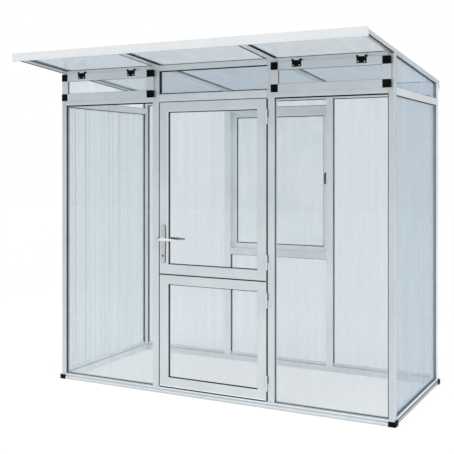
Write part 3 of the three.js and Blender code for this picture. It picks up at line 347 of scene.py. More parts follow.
def clear_pane(name, tint=rgb(0.965, 0.978, 0.984), film=0.05, broad=0.0):
    """Clear pane: what lies behind shows through a faint cool tint, with a mirror share that grows
    at grazing angles, a thin film of dust in vertical runs, and a broad haze in patches."""
    f = Finish(name)
    runs = f.noise(f.scaled(stretched("z", 2.0, 30.0)), 1.0, 4.0, 0.6)
    patches = f.noise(f.place, 2.2, 3.0, 0.6)
    dust = f.times(f.spread(runs, 0.2, 1.0, 0.35, 0.75), f.spread(patches, 0.4, 1.0))
    dust = f.plus(f.times(dust, film), f.spread(patches, 0.0, broad))
    through = f.shader("BsdfTransparent", Color=tint)
    dusty = f.shader("BsdfDiffuse", Color=rgb(0.8, 0.84, 0.87))
    polish = f.spread(patches, 0.01, 0.035)
    mirror = f.shader("BsdfGlossy", Color=rgb(0.95, 0.97, 0.98), Roughness=polish)
    surface = f.blend(f.glance(1.45), f.blend(dust, through, dusty), mirror)
    return f.lit_through(surface, rgb(0.97, 0.98, 0.985))


def twin_wall(name, run, milky, mirror, clear, passes=0.975, uneven=0.0):
    """Clear twin-wall sheet: cool tint that adds up through skins and ribs, a milky share that
    varies from cell to cell, and drawn streaks along the cells, sharper where it is uneven."""
    f = Finish(name)
    stretch = np.array(stretched(run, 0.25 if uneven else 1.5, 70.0))
    streaks = f.noise(f.scaled(stretch), 1.0, 2.0, 0.5)
    broad = f.noise(f.scaled(0.2 * stretch), 1.0, 2.0, 0.5)
    milk = f.times(f.spread(streaks, *milky), f.spread(broad, 0.6, 1.5))
    low = [c + clear for c in (0.925, 0.94, 0.95)]
    high = [c + clear for c in (0.955, 0.962, 0.968)]
    tint = f.mix(f.spread(streaks, 0.0, 1.0), rgb(*low), rgb(*high))
    if uneven:
        drawn = f.noise(f.scaled(0.37 * stretch), 1.0, 2.0, 0.7)
        milk = f.plus(milk, f.spread(drawn, 0.0, uneven, 0.62, 0.67))
        tint = f.mix(f.spread(drawn, 1.0, 0.0, 0.34, 0.38), tint, rgb(*(0.93 * c for c in low)))
    through = f.shader("BsdfTransparent", Color=tint)
    pale = f.shader("BsdfDiffuse", Color=rgb(0.82, 0.86, 0.9))
    soft = f.shader("BsdfTranslucent", Color=rgb(0.84, 0.88, 0.92))
    surface = f.blend(milk, through, f.blend(0.5, pale, soft))
    if mirror:
        satin = f.spread(streaks, 0.14, 0.26)
        glossy = f.shader("BsdfGlossy", Color=rgb(0.92, 0.95, 0.98), Roughness=satin)
        surface = f.blend(f.glance(1.4, mirror), surface, glossy)
    return f.lit_through(surface, rgb(passes, passes + 0.005, passes + 0.01))


def sheet_finishes(word, run, clear, rib_milky, rib_clear=0.03, mirror=0.3, **rest):
    """Finishes of a sheet's outer faces, of its skins inside the cells, and of its ribs."""
    skin_milky = (0.02, 0.06)
    return (
        twin_wall(f"twin_wall_{word}_skin", run, skin_milky, mirror, clear, **rest),
        twin_wall(f"twin_wall_{word}_inside", run, skin_milky, 0.0, clear, **rest),
        twin_wall(f"twin_wall_{word}_rib", run, rib_milky, 0.0, rib_clear),
    )


# Light that the floor gives off as seen beside the house, as seen far away and as seen inside the
# walls, and the light that it throws on the house. It glows more beside the house than far away,
# a painted light that lifts the house's shadow there, and less inside the walls, a painted shade.
NEAR_SHADOW_LIFT, FAR_LIFT, INDOOR_SHADE_LIFT, FLOOR_THROW = 0.57, 0.49, 0.385, 0.12
# The walls' rectangle on the floor, inside which the weaker glow is painted shade: half its width,
# the middle of its depth and half its depth
INDOOR_HALF_X, INDOOR_MIDDLE_Y, INDOOR_HALF_Y = 1.22, 0.252, 0.53


def studio_floor(name):
    """Pale floor that reads as white to the camera and still takes the house's shadow. It glows
    more beside the walls than far away, a painted light that lifts the house's shadow there, and
    less inside the walls, a painted shade of the house over it. How far a point lies outside the
    walls is the larger of its distances past their sides and their ends."""
    f = Finish(name)
    clouds = f.spread(f.noise(f.place, 0.6, 3.0, 0.5), 0.0, 1.0)
    colour = f.mix(clouds, rgb(0.79, 0.795, 0.8), rgb(0.81, 0.815, 0.82))
    path = f.add("LightPath").outputs
    seen = f.math("MAXIMUM", path["Is Camera Ray"], path["Is Glossy Ray"])
    seen = f.math("MAXIMUM", seen, path["Is Transmission Ray"])
    matt = f.shader("BsdfDiffuse", Color=f.mix(seen, colour, rgb(0.55, 0.55, 0.55)))
    x, y, _ = f.axes()
    past_side = f.minus(f.size(x), INDOOR_HALF_X)
    past_end = f.minus(f.size(f.minus(y, INDOOR_MIDDLE_Y)), INDOOR_HALF_Y)
    away = f.math("MAXIMUM", past_side, past_end)
    outside = f.math("GREATER_THAN", away, 0.0)
    open_lift = f.times(outside, f.spread(away, NEAR_SHADOW_LIFT, FAR_LIFT, 1.0, 3.2))
    indoor_shade_lift = f.times(f.minus(1.0, outside), INDOOR_SHADE_LIFT)
    lifted = f.times(seen, f.plus(open_lift, indoor_shade_lift))
    thrown = f.times(f.minus(1.0, seen), f.times(outside, FLOOR_THROW))
    glow = f.shader("Emission", Color=rgb(0.985, 0.965, 0.935), Strength=f.plus(lifted, thrown))
    return f.finish(f.shader("AddShader", i0=matt, i1=glow))


# The way that the profiles of each family of finishes run, by the first word of a finish
RUNS = {"upright": "z", "across": "x", "sill": "x", "deep": "y"}
# One anodised aluminium in lit and shaded copies: each family's tone is set lighter or darker by
# where its parts stand, for how light falls on them. The two painted-light tones lighten parts that
# lie in shade: the rear and inner profiles, the rafters under the roof and the window frame.
SATIN, LEAF_SATIN = rgb(0.67, 0.705, 0.725), rgb(0.675, 0.71, 0.73)
PAINTED_LIGHT_PALE, PAINTED_LIGHT_BRIGHT = rgb(0.8, 0.82, 0.835), rgb(0.93, 0.94, 0.95)
PROFILE_TONES = {
    "upright": SATIN,
    "upright_corner": rgb(0.62, 0.665, 0.69),
    "across": rgb(0.72, 0.752, 0.77),
    "sill": rgb(0.6, 0.635, 0.655),
    "deep": SATIN,
    "upright_rear": PAINTED_LIGHT_BRIGHT,
    "across_rear": PAINTED_LIGHT_PALE,
    "deep_pale": PAINTED_LIGHT_PALE,
    "across_bright": PAINTED_LIGHT_BRIGHT,
    "deep_bright": PAINTED_LIGHT_BRIGHT,
}
RIB_MILKY = (0.05, 0.12)
finishes = {
    name: aluminium(f"aluminium_{name}", RUNS[name.split("_")[0]], tone)
    for name, tone in PROFILE_TONES.items()
}
finishes |= {
    "fascia": powder_coat("fascia_powder_coat"),
    "black": moulded_plastic("black_moulding", 0.0025),
    "grey": moulded_plastic("grey_moulding", 0.06),
    "seal": extruded_rubber("black_seal", 0.008, 0.02),
    # The grey seal is a paler copy of the black one: painted light that offsets the shade in the
    # rafters' slots
    "seal_grey": extruded_rubber("grey_seal", 0.5, 0.58),
    "steel": brushed_steel("lever_steel", "x", 0.92),
    "steel_upright": brushed_steel("plate_steel", "z", 0.68),
    # The darker steel copy is painted shade on the inner lever and the lock cylinders
    "steel_shaded": brushed_steel("painted_shade_steel", "x", 0.3),
    "pane": clear_pane("clear_pane"),
    "fanlight": clear_pane("fanlight_clear", rgb(0.877, 0.903, 0.92)),
    "left_vent_pane": clear_pane("left_vent_clear", film=0.1, broad=0.3),
    "window_pane": clear_pane("window_pane_clear", rgb(0.84, 0.87, 0.89), 0.1, 0.12),
    "sheet_upright": sheet_finishes("upright", "z", -0.008, (0.015, 0.04)),
    "sheet_left": sheet_finishes("left", "z", -0.013, RIB_MILKY, 0.028, uneven=0.3),
    "sheet_side": sheet_finishes("side", "z", 0.01, RIB_MILKY),
    "sheet_gable": sheet_finishes("gable", "z", 0.04, RIB_MILKY),
    "sheet_roof": sheet_finishes("roof", "y", -0.043, (0.02, 0.05), mirror=0.2, passes=0.86),
}


def paint(names, material):
    """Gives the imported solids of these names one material."""
    for name in names:
        for slot in nodes[name].material_slots:
            slot.material = material


for finish, names in {
    "upright_corner": "post_front_left post_front_right",
    "upright": "post_door_left post_door_right",
    "upright_rear": "post_rear_left post_rear_right post_window_left post_window_right",
    "across": "transom_left transom_door transom_right beam_front",
    "sill": "sill_front",
    "across_bright": "beam_rear",
    "across_rear": "sill_rear window_head_rail window_sill_rail",
    "deep_bright": "sill_left sill_right rail_side_left",
    "deep_pale": "rail_side_right",
    "deep": "rafter_left rafter_middle_left rafter_middle_right rafter_right",
    "fascia": "fascia_front",
    "black": "foot_front_left foot_front_right foot_rear_left foot_rear_right",
    "pane": "pane_front_left pane_front_right door_upper_pane door_lower_pane",
    "left_vent_pane": "vent_left_pane",
    "fanlight": "fanlight_pane vent_right_pane",
    "window_pane": "window_pane",
    "steel": "latch_bolt",
}.items():
    paint(names.split(), finishes[finish])
for name, label, face, tone in (
    ("upper_leaf", "door_upper", LEAF_FACE, LEAF_SATIN),
    ("lower_leaf", "door_lower", LEAF_FACE, LEAF_SATIN),
    ("left_vent", "vent_left", SASH_FACE, LEAF_SATIN),
    ("right_vent", "vent_right", SASH_FACE, LEAF_SATIN),
    ("window", "window", SASH_FACE, PAINTED_LIGHT_BRIGHT),
):
    paint([f"{label}_frame"], frame_finish(f"{name}_profile", f"{label}_pane", face, tone))


# ---------------------------------------------------------------- mesh building
def new_piece(name, points, faces, finish, body, smooth=32.0, kinds=None):
    """A closed mesh from points in millimetres, with its faces turned outwards. Where kinds picks
    one of the finish's materials for each face, the faces are first made to agree with one
    another, and they stay flat."""
    mesh = bpy.data.meshes.new(name)
    mesh.from_pydata((np.asarray(points, float) * MM).tolist(), [], faces)
    work = bmesh.new()
    work.from_mesh(mesh)
    if kinds is not None:
        bmesh.ops.recalc_face_normals(work, faces=work.faces)
    if work.calc_volume(signed=True) < 0:
        bmesh.ops.reverse_faces(work, faces=work.faces)
    work.to_mesh(mesh)
    work.free()
    if kinds is None:
        mesh.shade_smooth()
        mesh.set_sharp_from_angle(angle=math.radians(smooth))
        mesh.materials.append(finishes[finish])
    else:
        for material in finishes[finish]:
            mesh.materials.append(material)
        mesh.polygons.foreach_set("material_index", kinds.astype(np.int32))
    piece = bpy.data.objects.new(name, mesh)
    bpy.context.scene.collection.objects.link(piece)
    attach(piece, body)
    return piece


def loft_faces(rows, columns, closed):
    """Quads of a grid of points whose columns close on themselves, and whose rows do too if
    asked; otherwise the first and the last row are capped."""
    i = np.arange(rows if closed else rows - 1)[:, None]
    j = np.arange(columns)[None, :]
    here, there = i * columns, ((i + 1) % rows) * columns
    right = (j + 1) % columns
    quads = np.stack([here + j, here + right, there + right, there + j], axis=-1).reshape(-1, 4)
    faces = quads.tolist()
    if not closed:
        faces.append(list(range(columns))[::-1])
        faces.append(list(range((rows - 1) * columns, rows * columns)))
    return faces


def loft(name, rings, finish, body, closed=False, smooth=32.0):
    """Rings of points joined one after the other; the ends are capped unless the rings close."""
    rings = np.asarray(rings, float)
    faces = loft_faces(*rings.shape[:2], closed)
    return new_piece(name, rings.reshape(-1, 3), faces, finish, body, smooth)


def circle(sides, a_axis, b_axis):
    """Unit circle in the plane of two axes: cosine along the first, sine along the second."""
    turn = np.linspace(0.0, 2 * math.pi, sides, endpoint=False)[:, None]
    return np.cos(turn) * a_axis + np.sin(turn) * b_axis


def square_to(axis):
    """Two directions square to each other and to an axis that isn't X."""
    side = np.cross(axis, X_AXIS)
    return side, np.cross(axis, side)


def rounded_outline(half_a, half_b, radius, steps):
    """Rounded rectangle about the origin: quarter circles of one radius at its four corners."""
    turn = np.linspace(0.0, math.pi / 2, steps)
    quarter = np.stack([np.cos(turn), np.sin(turn)], axis=1) * radius
    spots = []
    for a, b, c, s in ((1, 1, 1, 0), (-1, 1, 0, 1), (-1, -1, -1, 0), (1, -1, 0, -1)):
        spun = quarter @ np.array([[c, s], [-s, c]])
        spots.append(spun + [a * (half_a - radius), b * (half_b - radius)])
    return np.concatenate(spots)


def shrunk(outline, inset):
    """Outline moved inwards by an inset: each point moves against the mean of the two outward
    normals beside it, lengthened so that both edges move by the same inset."""
    before = outline - np.roll(outline, 1, axis=0)
    after = np.roll(outline, -1, axis=0) - outline
    normals = [
        np.stack([e[:, 1], -e[:, 0]], axis=1) / np.linalg.norm(e, axis=1, keepdims=True)
        for e in (before, after)
    ]
    dot = np.sum(normals[0] * normals[1], axis=1, keepdims=True)
    return outline - inset * (normals[0] + normals[1]) / (1.0 + dot)


def raised(name, centre, out, up, size, levels, finish, body, smooth=32.0, steps=6):
    """A moulding: a rounded rectangle of half widths across and up and a corner radius, drawn in
    by each level's inset and lifted outwards by its height."""
    half_a, half_b, radius = size
    plane = np.array([np.cross(up, out), up])
    rings = []
    for inset, height in levels:
        corner = max(radius - inset, 0.15)
        outline = rounded_outline(half_a - inset, half_b - inset, corner, steps)
        rings.append(centre + outline @ plane + height * out)
    return loft(name, rings, finish, body, smooth=smooth)


def turned(name, centre, axis, profile, finish, body):
    """A round piece: radius and height pairs carried round an axis through a centre."""
    ring = circle(32, *square_to(axis))
    rings = [centre + radius * ring + height * axis for radius, height in profile]
    return loft(name, rings, finish, body)


def pan_screw(name, centre, axis, radius, body):
    """Pan head screw with a cross recess: height is a dome of the radius, less a soft cross whose
    arms are narrow in angle times radius."""
    side, other = square_to(axis)
    share = np.array([1.0, 1.0, 0.94, 0.84, 0.7, 0.58, 0.5, 0.42, 0.3, 0.16, 0.05])
    turn = np.linspace(0.0, 2 * math.pi, 32, endpoint=False)
    spot_a = share[:, None] * np.cos(turn)
    spot_b = share[:, None] * np.sin(turn)
    dome = 0.62 * np.sqrt(np.clip(1.08 - share**2, 0.0, None))[:, None] * np.ones_like(turn)
    dome[0] = -0.1
    arm = np.minimum(np.abs(spot_a), np.abs(spot_b)) * 8.0
    recess = np.clip(1.2 - arm, 0.0, 1.0) * np.clip((0.56 - share) * 12.0, 0.0, 1.0)[:, None]
    height = (dome - 0.3 * recess) * radius
    flat = radius * (spot_a[..., None] * side + spot_b[..., None] * other)
    loft(name, centre + flat + height[..., None] * axis, "steel", body, smooth=40.0)


def ring_collar(name, centre, axis, profile, finish, body):
    """A ring: a closed profile of radius and height carried round an axis."""
    ring = circle(40, X_AXIS, np.cross(axis, X_AXIS))[:, None, :]
    radius, height = np.asarray(profile).T[:, None, :, None]
    loft(name, centre + radius * ring + height * axis, finish, body, closed=True)


def run_strip(name, start, end, a_axis, b_axis, section, finish="seal", body="house"):
    """A section carried in a straight line from start to end."""
    flat = np.asarray(section, float) @ np.array([a_axis, b_axis])
    rings = [np.asarray(start, float) + flat, np.asarray(end, float) + flat]
    return loft(name, rings, finish, body, smooth=50.0)


def framed_strip(name, corners, base, a_axis, out, profile, body):
    """A seal carried round a polygon and mitred at its corners. The corners lie in the plane of
    an axis and Z through base, and turn from the axis towards Z; a profile point is its distance
    inwards from the edge and its distance along out."""
    corners = np.asarray(corners, float)
    flat = np.stack([shrunk(corners, inset) for inset, _ in profile], axis=1)
    lift = np.array([height for _, height in profile])
    rings = base + flat @ np.array([a_axis, Z_AXIS]) + lift[None, :, None] * out
    loft(name, rings, "seal", body, closed=True, smooth=50.0)


def wedge(width, height):
    """Section of a glazing gasket: flat on the pane and on the frame, with a rounded lip."""
    lip = [(1.0, -0.2), (0.9, 0.12 * height), (0.65, 0.4 * height), (0.3, 0.85 * height)]
    lip = [(share * width, rise) for share, rise in lip]
    return [(-0.4, -0.2), *lip, (0.12 * width, height), (-0.4, height)]


def handed(section, hand):
    """A section, mirrored where the hand is minus one."""
    return [(hand * a, b) for a, b in section]


def swept(name, path, sizes, plane_normal, finish, body):
    """A bar carried along a path that lies in a plane. At each point its section is a full oval:
    one half width lies in the plane, square to the path, and the other along the plane's normal,
    and both go with a power of the cosine and of the sine."""
    tangent = np.gradient(path, axis=0)
    tangent /= np.linalg.norm(tangent, axis=1, keepdims=True)
    inside = np.cross(plane_normal, tangent)
    turn = np.linspace(0.0, 2 * math.pi, 24, endpoint=False)
    fullness = 0.8
    cosine = np.sign(np.cos(turn)) * np.abs(np.cos(turn)) ** fullness
    sine = np.sign(np.sin(turn)) * np.abs(np.sin(turn)) ** fullness
    rings = (
        path[:, None, :]
        + sizes[:, 0, None, None] * cosine[None, :, None] * inside[:, None, :]
        + sizes[:, 1, None, None] * sine[None, :, None] * plane_normal
    )
    return loft(name, rings, finish, body, smooth=40.0)


def lever_path(root, away, along, standoff, reach, bend):
    """Points of a lever: straight away from its root, a quarter circle, then straight along."""
    turn = np.linspace(0.0, math.pi / 2, 8)
    neck = root + np.linspace(0.0, 1.0, 4)[:-1, None] * (standoff - bend) * away
    curve = root + (standoff - bend + bend * np.sin(turn))[:, None] * away
    curve = curve + (bend - bend * np.cos(turn))[:, None] * along
    grip = np.linspace(0.0, 1.0, 14)[1:, None] * (reach - bend) * along + curve[-1]
    return np.concatenate([neck, curve, grip])


def half_widths(places, *profiles):
    """The two half widths of a bar at each place, in the path's plane and along its normal, each
    in straight steps between pairs of a place and a half width."""
    return np.stack([np.interp(places, *zip(*pairs)) for pairs in profiles], axis=1)


def rounded_end(sizes, points, last):
    """Half widths that shrink over the last stretch of a path as a quarter ellipse."""
    left = np.linalg.norm(points - points[-1], axis=1)
    share = np.sqrt(np.clip(1.0 - (1.0 - np.clip(left / last, 0.0, 1.0)) ** 2, 0.02, 1.0))
    return sizes * share[:, None]


# ---------------------------------------------------------------- twin-wall sheets
CELL_PITCH, CELL_RIB, CELL_SKIN, SHEET_THICKNESS = 16.0, 0.7, 0.8, 10.0


def cellular_sheet(node, origin, across, through, along, width, start, end, finish, rise=0.0):
    """Twin-wall sheet: two skins joined by ribs, with open cells along it. Grid lines lie on both
    faces of every rib and on both faces of each skin. The sheet begins at start along its cells
    and stops at end, plus the rise times the distance across it."""
    middles = np.linspace(0.0, width, int(round(width / CELL_PITCH)) + 1)
    lines = np.stack([middles - CELL_RIB / 2, middles + CELL_RIB / 2], axis=1).reshape(-1)
    lines = np.clip(lines, 0.0, width)
    lines[1], lines[-2] = CELL_RIB, width - CELL_RIB
    levels = np.array([0.0, CELL_SKIN, SHEET_THICKNESS - CELL_SKIN, SHEET_THICKNESS])
    ends = np.stack([np.full_like(lines, start), end + rise * lines], axis=1)
    grid = (
        origin
        + lines[:, None, None, None] * across
        + levels[None, :, None, None] * through
        + ends[:, None, :, None] * along
    )
    # Steps in the list of points to the next line, the next level and the other end
    next_line, next_level, other_end = 8, 2, 1

    def quads(columns, level, side, step_a, step_b):
        """Faces that start at these columns and span the two steps."""
        first = columns * next_line + level * next_level + side * other_end
        return np.stack([first, first + step_a, first + step_a + step_b, first + step_b], axis=1)

    gaps, last = np.arange(len(lines) - 1), len(lines) - 1
    ribs, hollows = gaps[0::2], gaps[1::2]
    outer = [quads(gaps, level, 0, next_line, other_end) for level in (0, 3)]
    for side in (0, 1):
        for columns, level in ((gaps, 0), (gaps, 2), (ribs, 1)):
            outer.append(quads(columns, level, side, next_line, next_level))
    edges = np.array([0, last])
    outer += [quads(edges, level, 0, next_level, other_end) for level in (0, 1, 2)]
    inner = [quads(hollows, level, 0, next_line, other_end) for level in (1, 2)]
    walls = [quads(np.arange(1, last), 1, 0, next_level, other_end)]
    groups = [np.concatenate(group) for group in (outer, inner, walls)]
    kinds = np.repeat(np.arange(3), [len(group) for group in groups])
    faces = np.concatenate(groups).tolist()
    name = node.replace("sheet", "cells")
    piece = new_piece(name, grid.reshape(-1, 3), faces, finish, "house", kinds=kinds)
    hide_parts(node)


def wall_sheet(node, across, through, finish, sloped=False):
    """Twin-wall sheet with upright cells; a sloped one ends in the groove of its rafter."""
    low, high = box_mm(node)
    top = roof_plane(low[1], RAFTER_UNDER - BITE) if sloped else high[2]
    rise = -math.tan(ROOF_SLOPE) if sloped else 0.0
    width = (high - low) @ across
    cellular_sheet(node, low, across, through, Z_AXIS, width, 0.0, top - low[2], finish, rise)


for place in ("left", "right", "lower", "upper"):
    wall_sheet(f"rear_sheet_{place}", X_AXIS, Y_AXIS, "sheet_upright")
for side, finish in (("left", "sheet_left"), ("right", "sheet_side")):
    wall_sheet(f"side_sheet_{side}", Y_AXIS, X_AXIS, finish)
    wall_sheet(f"gable_sheet_{side}", Y_AXIS, X_AXIS, "sheet_gable", sloped=True)
for bay in ("left", "middle", "right"):
    low, high = box_mm(f"roof_sheet_{bay}")
    corner = ROOF_ORIGIN + low[0] * X_AXIS - SHEET_UNDER * ROOF_OUT
    cellular_sheet(
        f"roof_sheet_{bay}", corner, X_AXIS, ROOF_OUT, ROOF_ALONG,
        high[0] - low[0], ROOF_START, ROOF_END, "sheet_roof",
    )


# ---------------------------------------------------------------- glazing seals
def pane_seals(label, node, body, width, height):
    """A black gasket on each face of a pane or sheet, round the opening that it fills."""
    low, high = box_mm(node)
    (x0, _, z0), (x1, _, z1) = low + BITE, high - BITE
    corners = [(x0, z0), (x1, z0), (x1, z1), (x0, z1)]
    for word, y, out in (("front", low[1], FRONT), ("back", high[1], REAR)):
        gasket = wedge(width, height)
        framed_strip(f"{label}_seal_{word}", corners, y * Y_AXIS, X_AXIS, out, gasket, body)


for row in (
    ("pane_left", "pane_front_left", "house", 2.0, 2.6),
    ("pane_right", "pane_front_right", "house", 2.0, 2.6),
    ("fanlight", "fanlight_pane", "house", 4.5, 5.0),
    ("upper_leaf", "door_upper_pane", "upper_leaf", 5.6, 5.0),
    ("lower_leaf", "door_lower_pane", "lower_leaf", 5.6, 5.0),
    ("left_vent", "vent_left_pane", "left_vent", 1.6, 1.6),
    ("right_vent", "vent_right_pane", "right_vent", 1.6, 1.6),
    ("window", "window_pane", "window", 6.0, 3.5),
    ("rear_left", "rear_sheet_left", "house", 5.0, 4.0),
    ("rear_right", "rear_sheet_right", "house", 5.0, 4.0),
    ("rear_lower", "rear_sheet_lower", "house", 5.0, 4.0),
    ("rear_upper", "rear_sheet_upper", "house", 5.0, 4.0),
):
    pane_seals(*row)


def packing_strips(label, node, **widths):
    """Broad packing strips over a pane's front seal, each of its own width, along the upright
    edges at low and at high X and along the top; being black, they also stand in as painted shadow
    of the frame along those edges."""
    low, high = box_mm(node)
    (x0, _, z0), (x1, _, z1) = low + BITE, high - BITE
    face = low[1] - 2.4
    edges = {
        "low_x": (x0, z0, x0, z1, X_AXIS),
        "high_x": (x1, z0, x1, z1, -X_AXIS),
        "top": (x0, z1, x1, z1, -Z_AXIS),
    }
    for word, width in widths.items():
        from_x, from_z, to_x, to_z, inward = edges[word]
        section = [(-0.3, 0.0), (width, 0.0), (width, 0.8), (width - 1.4, 1.7), (0.8, 2.2),
                   (-0.3, 2.2)]
        run_strip(
            f"{label}_packing_{word}", (from_x, face, from_z), (to_x, face, to_z), inward, FRONT,
            section,
        )


packing_strips("pane_left", "pane_front_left", low_x=9.5, high_x=5.0, top=8.5)
packing_strips("pane_right", "pane_front_right", low_x=4.0, high_x=8.0, top=9.0)
packing_strips("fanlight", "fanlight_pane", low_x=15.0, top=7.5)

for side in SIDES:
    for part in ("side", "gable"):
        low, high = box_mm(f"{part}_sheet_{side}")
        (_, y0, z0), (_, y1, z1) = low + BITE, high - BITE
        tops = (z1, z1) if part == "side" else [roof_plane(y, RAFTER_UNDER) for y in (y0, y1)]
        corners = [(y0, z0), (y1, z0), (y1, tops[1]), (y0, tops[0])]
        for word, x, out in (("low_x", low[0], -X_AXIS), ("high_x", high[0], X_AXIS)):
            name = f"{part}_{side}_seal_{word}"
            framed_strip(name, corners, x * X_AXIS, Y_AXIS, out, wedge(4.6, 4.0), "house")


# ---------------------------------------------------------------- roof
def roof_run(name, x, start, end, section, finish="seal", drop=0.0, out=ROOF_OUT):
    """A section carried along the slope from start to end, on a line at a place across the roof
    and at a drop under the rafters' tops; its second axis is out."""
    base = ROOF_ORIGIN + x * X_AXIS - drop * ROOF_OUT
    begin, stop = base + start * ROOF_ALONG, base + end * ROOF_ALONG
    return run_strip(name, begin, stop, X_AXIS, out, section, finish)


UNDER_SHEET = {"drop": SHEET_UNDER, "out": -ROOF_OUT}
OVER_SHEET = {"drop": SHEET_OVER}
SHEET_SPAN = (ROOF_START + 1.0, ROOF_END - 1.0)
# Middle rafters: an H section whose side slots hold the sheets, nearly flush with them below, with
# two drawn lines on the underside, broad seals beside it and packers where something carries it.
# The broad black lips under the overhang are seals that also stand in as painted shadow beside
# each rafter. The pale grey seals further in are a lightened copy, painted light against the shade
# in the rafters' slots.
half_rafter = [
    (25.0, 0.0), (25.0, -5.7), (12.0, -5.7), (12.0, -16.3), (25.0, -16.3), (25.0, -18.6),
    (24.4, -19.2), (9.6, -19.2), (9.2, -18.4), (8.2, -18.4), (7.8, -19.2),
]
rafter_section = half_rafter + handed(reversed(half_rafter), -1.0)
lip_section = [
    (0.0, -0.6), (19.0, -0.6), (18.0, 0.8), (14.0, 2.4), (8.0, 3.4), (1.5, 3.6), (0.0, 2.8),
]
packer_section = [
    (-24.6, -18.0), (24.6, -18.0), (24.6, -29.6), (24.2, -30.0), (-24.2, -30.0), (-24.6, -29.6),
]
# Where the fascia, the front beam and the rear beam carry the rafters, along the slope
CARRIED_SPANS = ((ROOF_START + 0.2, 24.5), (534.2, 579.8), (1617.5, 1662.5))
for side, sign in SIDES.items():
    middle = sign * RAFTER_X
    rafter = roof_run(
        f"rafter_profile_{side}", middle, ROOF_START, ROOF_END, rafter_section, "deep_pale"
    )
    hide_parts(f"rafter_middle_{side}")
    for k, (begin, stop) in enumerate(CARRIED_SPANS):
        name = f"rafter_packer_{side}_{k + 1}"
        roof_run(name, middle, begin, stop, packer_section, "deep_pale")
    for word, hand in (("near", 1.0), ("far", -1.0)):
        label, x = f"roof_seal_{side}_{word}", middle + hand * RAFTER_HALF
        sections = (lip_section, wedge(5.0, 3.0), wedge(6.0, 4.0))
        lip, under, over = (handed(section, hand) for section in sections)
        roof_run(f"{label}_lip", x, ROOF_START + 20.0, 533.0, lip, **UNDER_SHEET)
        roof_run(f"{label}_under", x, 533.2, ROOF_END - 4.0, under, "seal_grey", **UNDER_SHEET)
        roof_run(f"{label}_over", x, *SHEET_SPAN, over, "seal_grey", **OVER_SHEET)
    label, x = f"roof_seal_end_{side}", sign * END_RAFTER_X
    under, over = handed(wedge(4.0, 3.0), -sign), handed(wedge(6.0, 4.0), -sign)
    roof_run(f"{label}_under", x, ROOF_START + 22.0, ROOF_END - 4.0, under, **UNDER_SHEET)
    roof_run(f"{label}_over", x, *SHEET_SPAN, over, "seal_grey", **OVER_SHEET)

# Closing strips under the roof sheets, on the faces of the front and rear beams; black, they also
# stand in as painted shadow along the line where the sheets meet the beams
closing_section = [(0.0, 0.2), (0.0, -3.6), (-1.0, -3.4), (-1.6, -2.6), (-1.6, -1.2), (-0.8, 0.2)]
for word, y, hand in (
    ("front_outside", WALL_FRONT, 1.0), ("front_inside", WALL_FRONT + WALL_DEPTH, -1.0),
    ("rear_inside", WALL_REAR - WALL_DEPTH, 1.0), ("rear_outside", WALL_REAR, -1.0),
):
    z = roof_plane(y, SHEET_UNDER + 0.4)
    for bay, x0, x1 in (
        ("left", -1214.0, -481.5), ("middle", -392.5, 392.5), ("right", 481.5, 1214.0),
    ):
        name = f"closing_strip_{word}_{bay}"
        run_strip(name, (x0, y, z), (x1, y, z), hand * Y_AXIS, Z_AXIS, closing_section)

# Black edge strip under the outer edge of each end rafter, where it reaches past the front wall:
# a painted shadow line along the underside of the overhang's edge
edge_section = [(-1.0, 1.2), (8.2, 1.2), (8.2, -1.6), (7.0, -2.6), (0.6, -2.6), (-1.0, -1.4)]
wall_start = (WALL_FRONT - 1.0 + ROOF_DEPTH / 2) / math.cos(ROOF_SLOPE)
for side, sign in SIDES.items():
    roof_run(
        f"rafter_edge_strip_{side}", sign * WALL_SIDE, 25.5, wall_start,
        handed(edge_section, -sign), drop=RAFTER_UNDER,
    )

# ---------------------------------------------------------------- strips on the walls and leaves
# Seals that the leaves close on, on the stops of the door frame
STOP_Y = -272.55
stop_section = [(0.0, 0.0), (8.0, 0.0), (8.0, 0.9), (6.4, 1.7), (1.6, 1.7), (0.0, 0.9)]
for side, sign in SIDES.items():
    x = sign * (DOOR_HALF - 1.0)
    run_strip(
        f"door_stop_seal_{side}", (x, STOP_Y, 44.0), (x, STOP_Y, 1998.0), -sign * X_AXIS, FRONT,
        stop_section,
    )
run_strip(
    "door_stop_seal_top", (-401.0, STOP_Y, 2008.5), (401.0, STOP_Y, 2008.5), -Z_AXIS, FRONT,
    stop_section,
)

# Bright lips that close the grooves between the bands of the sills; their pale tone is a painted
# highlight along the top edges of the steps
SILL_PROUD, SILL_END_GAP = 8.0, 4.0
sill_x, sill_rear = WALL_SIDE + SILL_PROUD, WALL_REAR + SILL_PROUD
sill_front = WALL_FRONT - SILL_PROUD
low_lip = [(-2.0, 11.8), (1.0, 11.8), (1.0, 16.6), (0.2, 17.6), (-2.0, 17.6)]
high_lip = [(-5.0, 31.4), (-2.9, 31.4), (-2.9, 37.0), (-3.7, 38.0), (-5.0, 38.0)]
x = sill_x - SILL_END_GAP
for word, lip in (("low", low_lip), ("high", high_lip)):
    for end, y, out in (("front", sill_front, FRONT), ("rear", sill_rear, REAR)):
        name = f"sill_lip_{word}_{end}"
        run_strip(name, (-x, y, 0.0), (x, y, 0.0), out, Z_AXIS, lip, "across_rear")
# Dark strips that close the same grooves along the side sills, as painted shade in the grooves
low_strip = [(-2.0, 11.4), (0.5, 11.4), (0.5, 13.8), (-0.4, 14.8), (-2.0, 14.8)]
high_strip = [(-5.0, 24.4), (-1.3, 24.4), (-1.3, 30.6), (-2.3, 31.8), (-5.0, 31.8)]
y0, y1 = sill_front + SILL_END_GAP, sill_rear - SILL_END_GAP
for word, strip in (("low", low_strip), ("high", high_strip)):
    for side, sign in SIDES.items():
        name, x = f"sill_strip_{word}_{side}", sign * sill_x
        run_strip(name, (x, y0, 0.0), (x, y1, 0.0), sign * X_AXIS, Z_AXIS, strip)


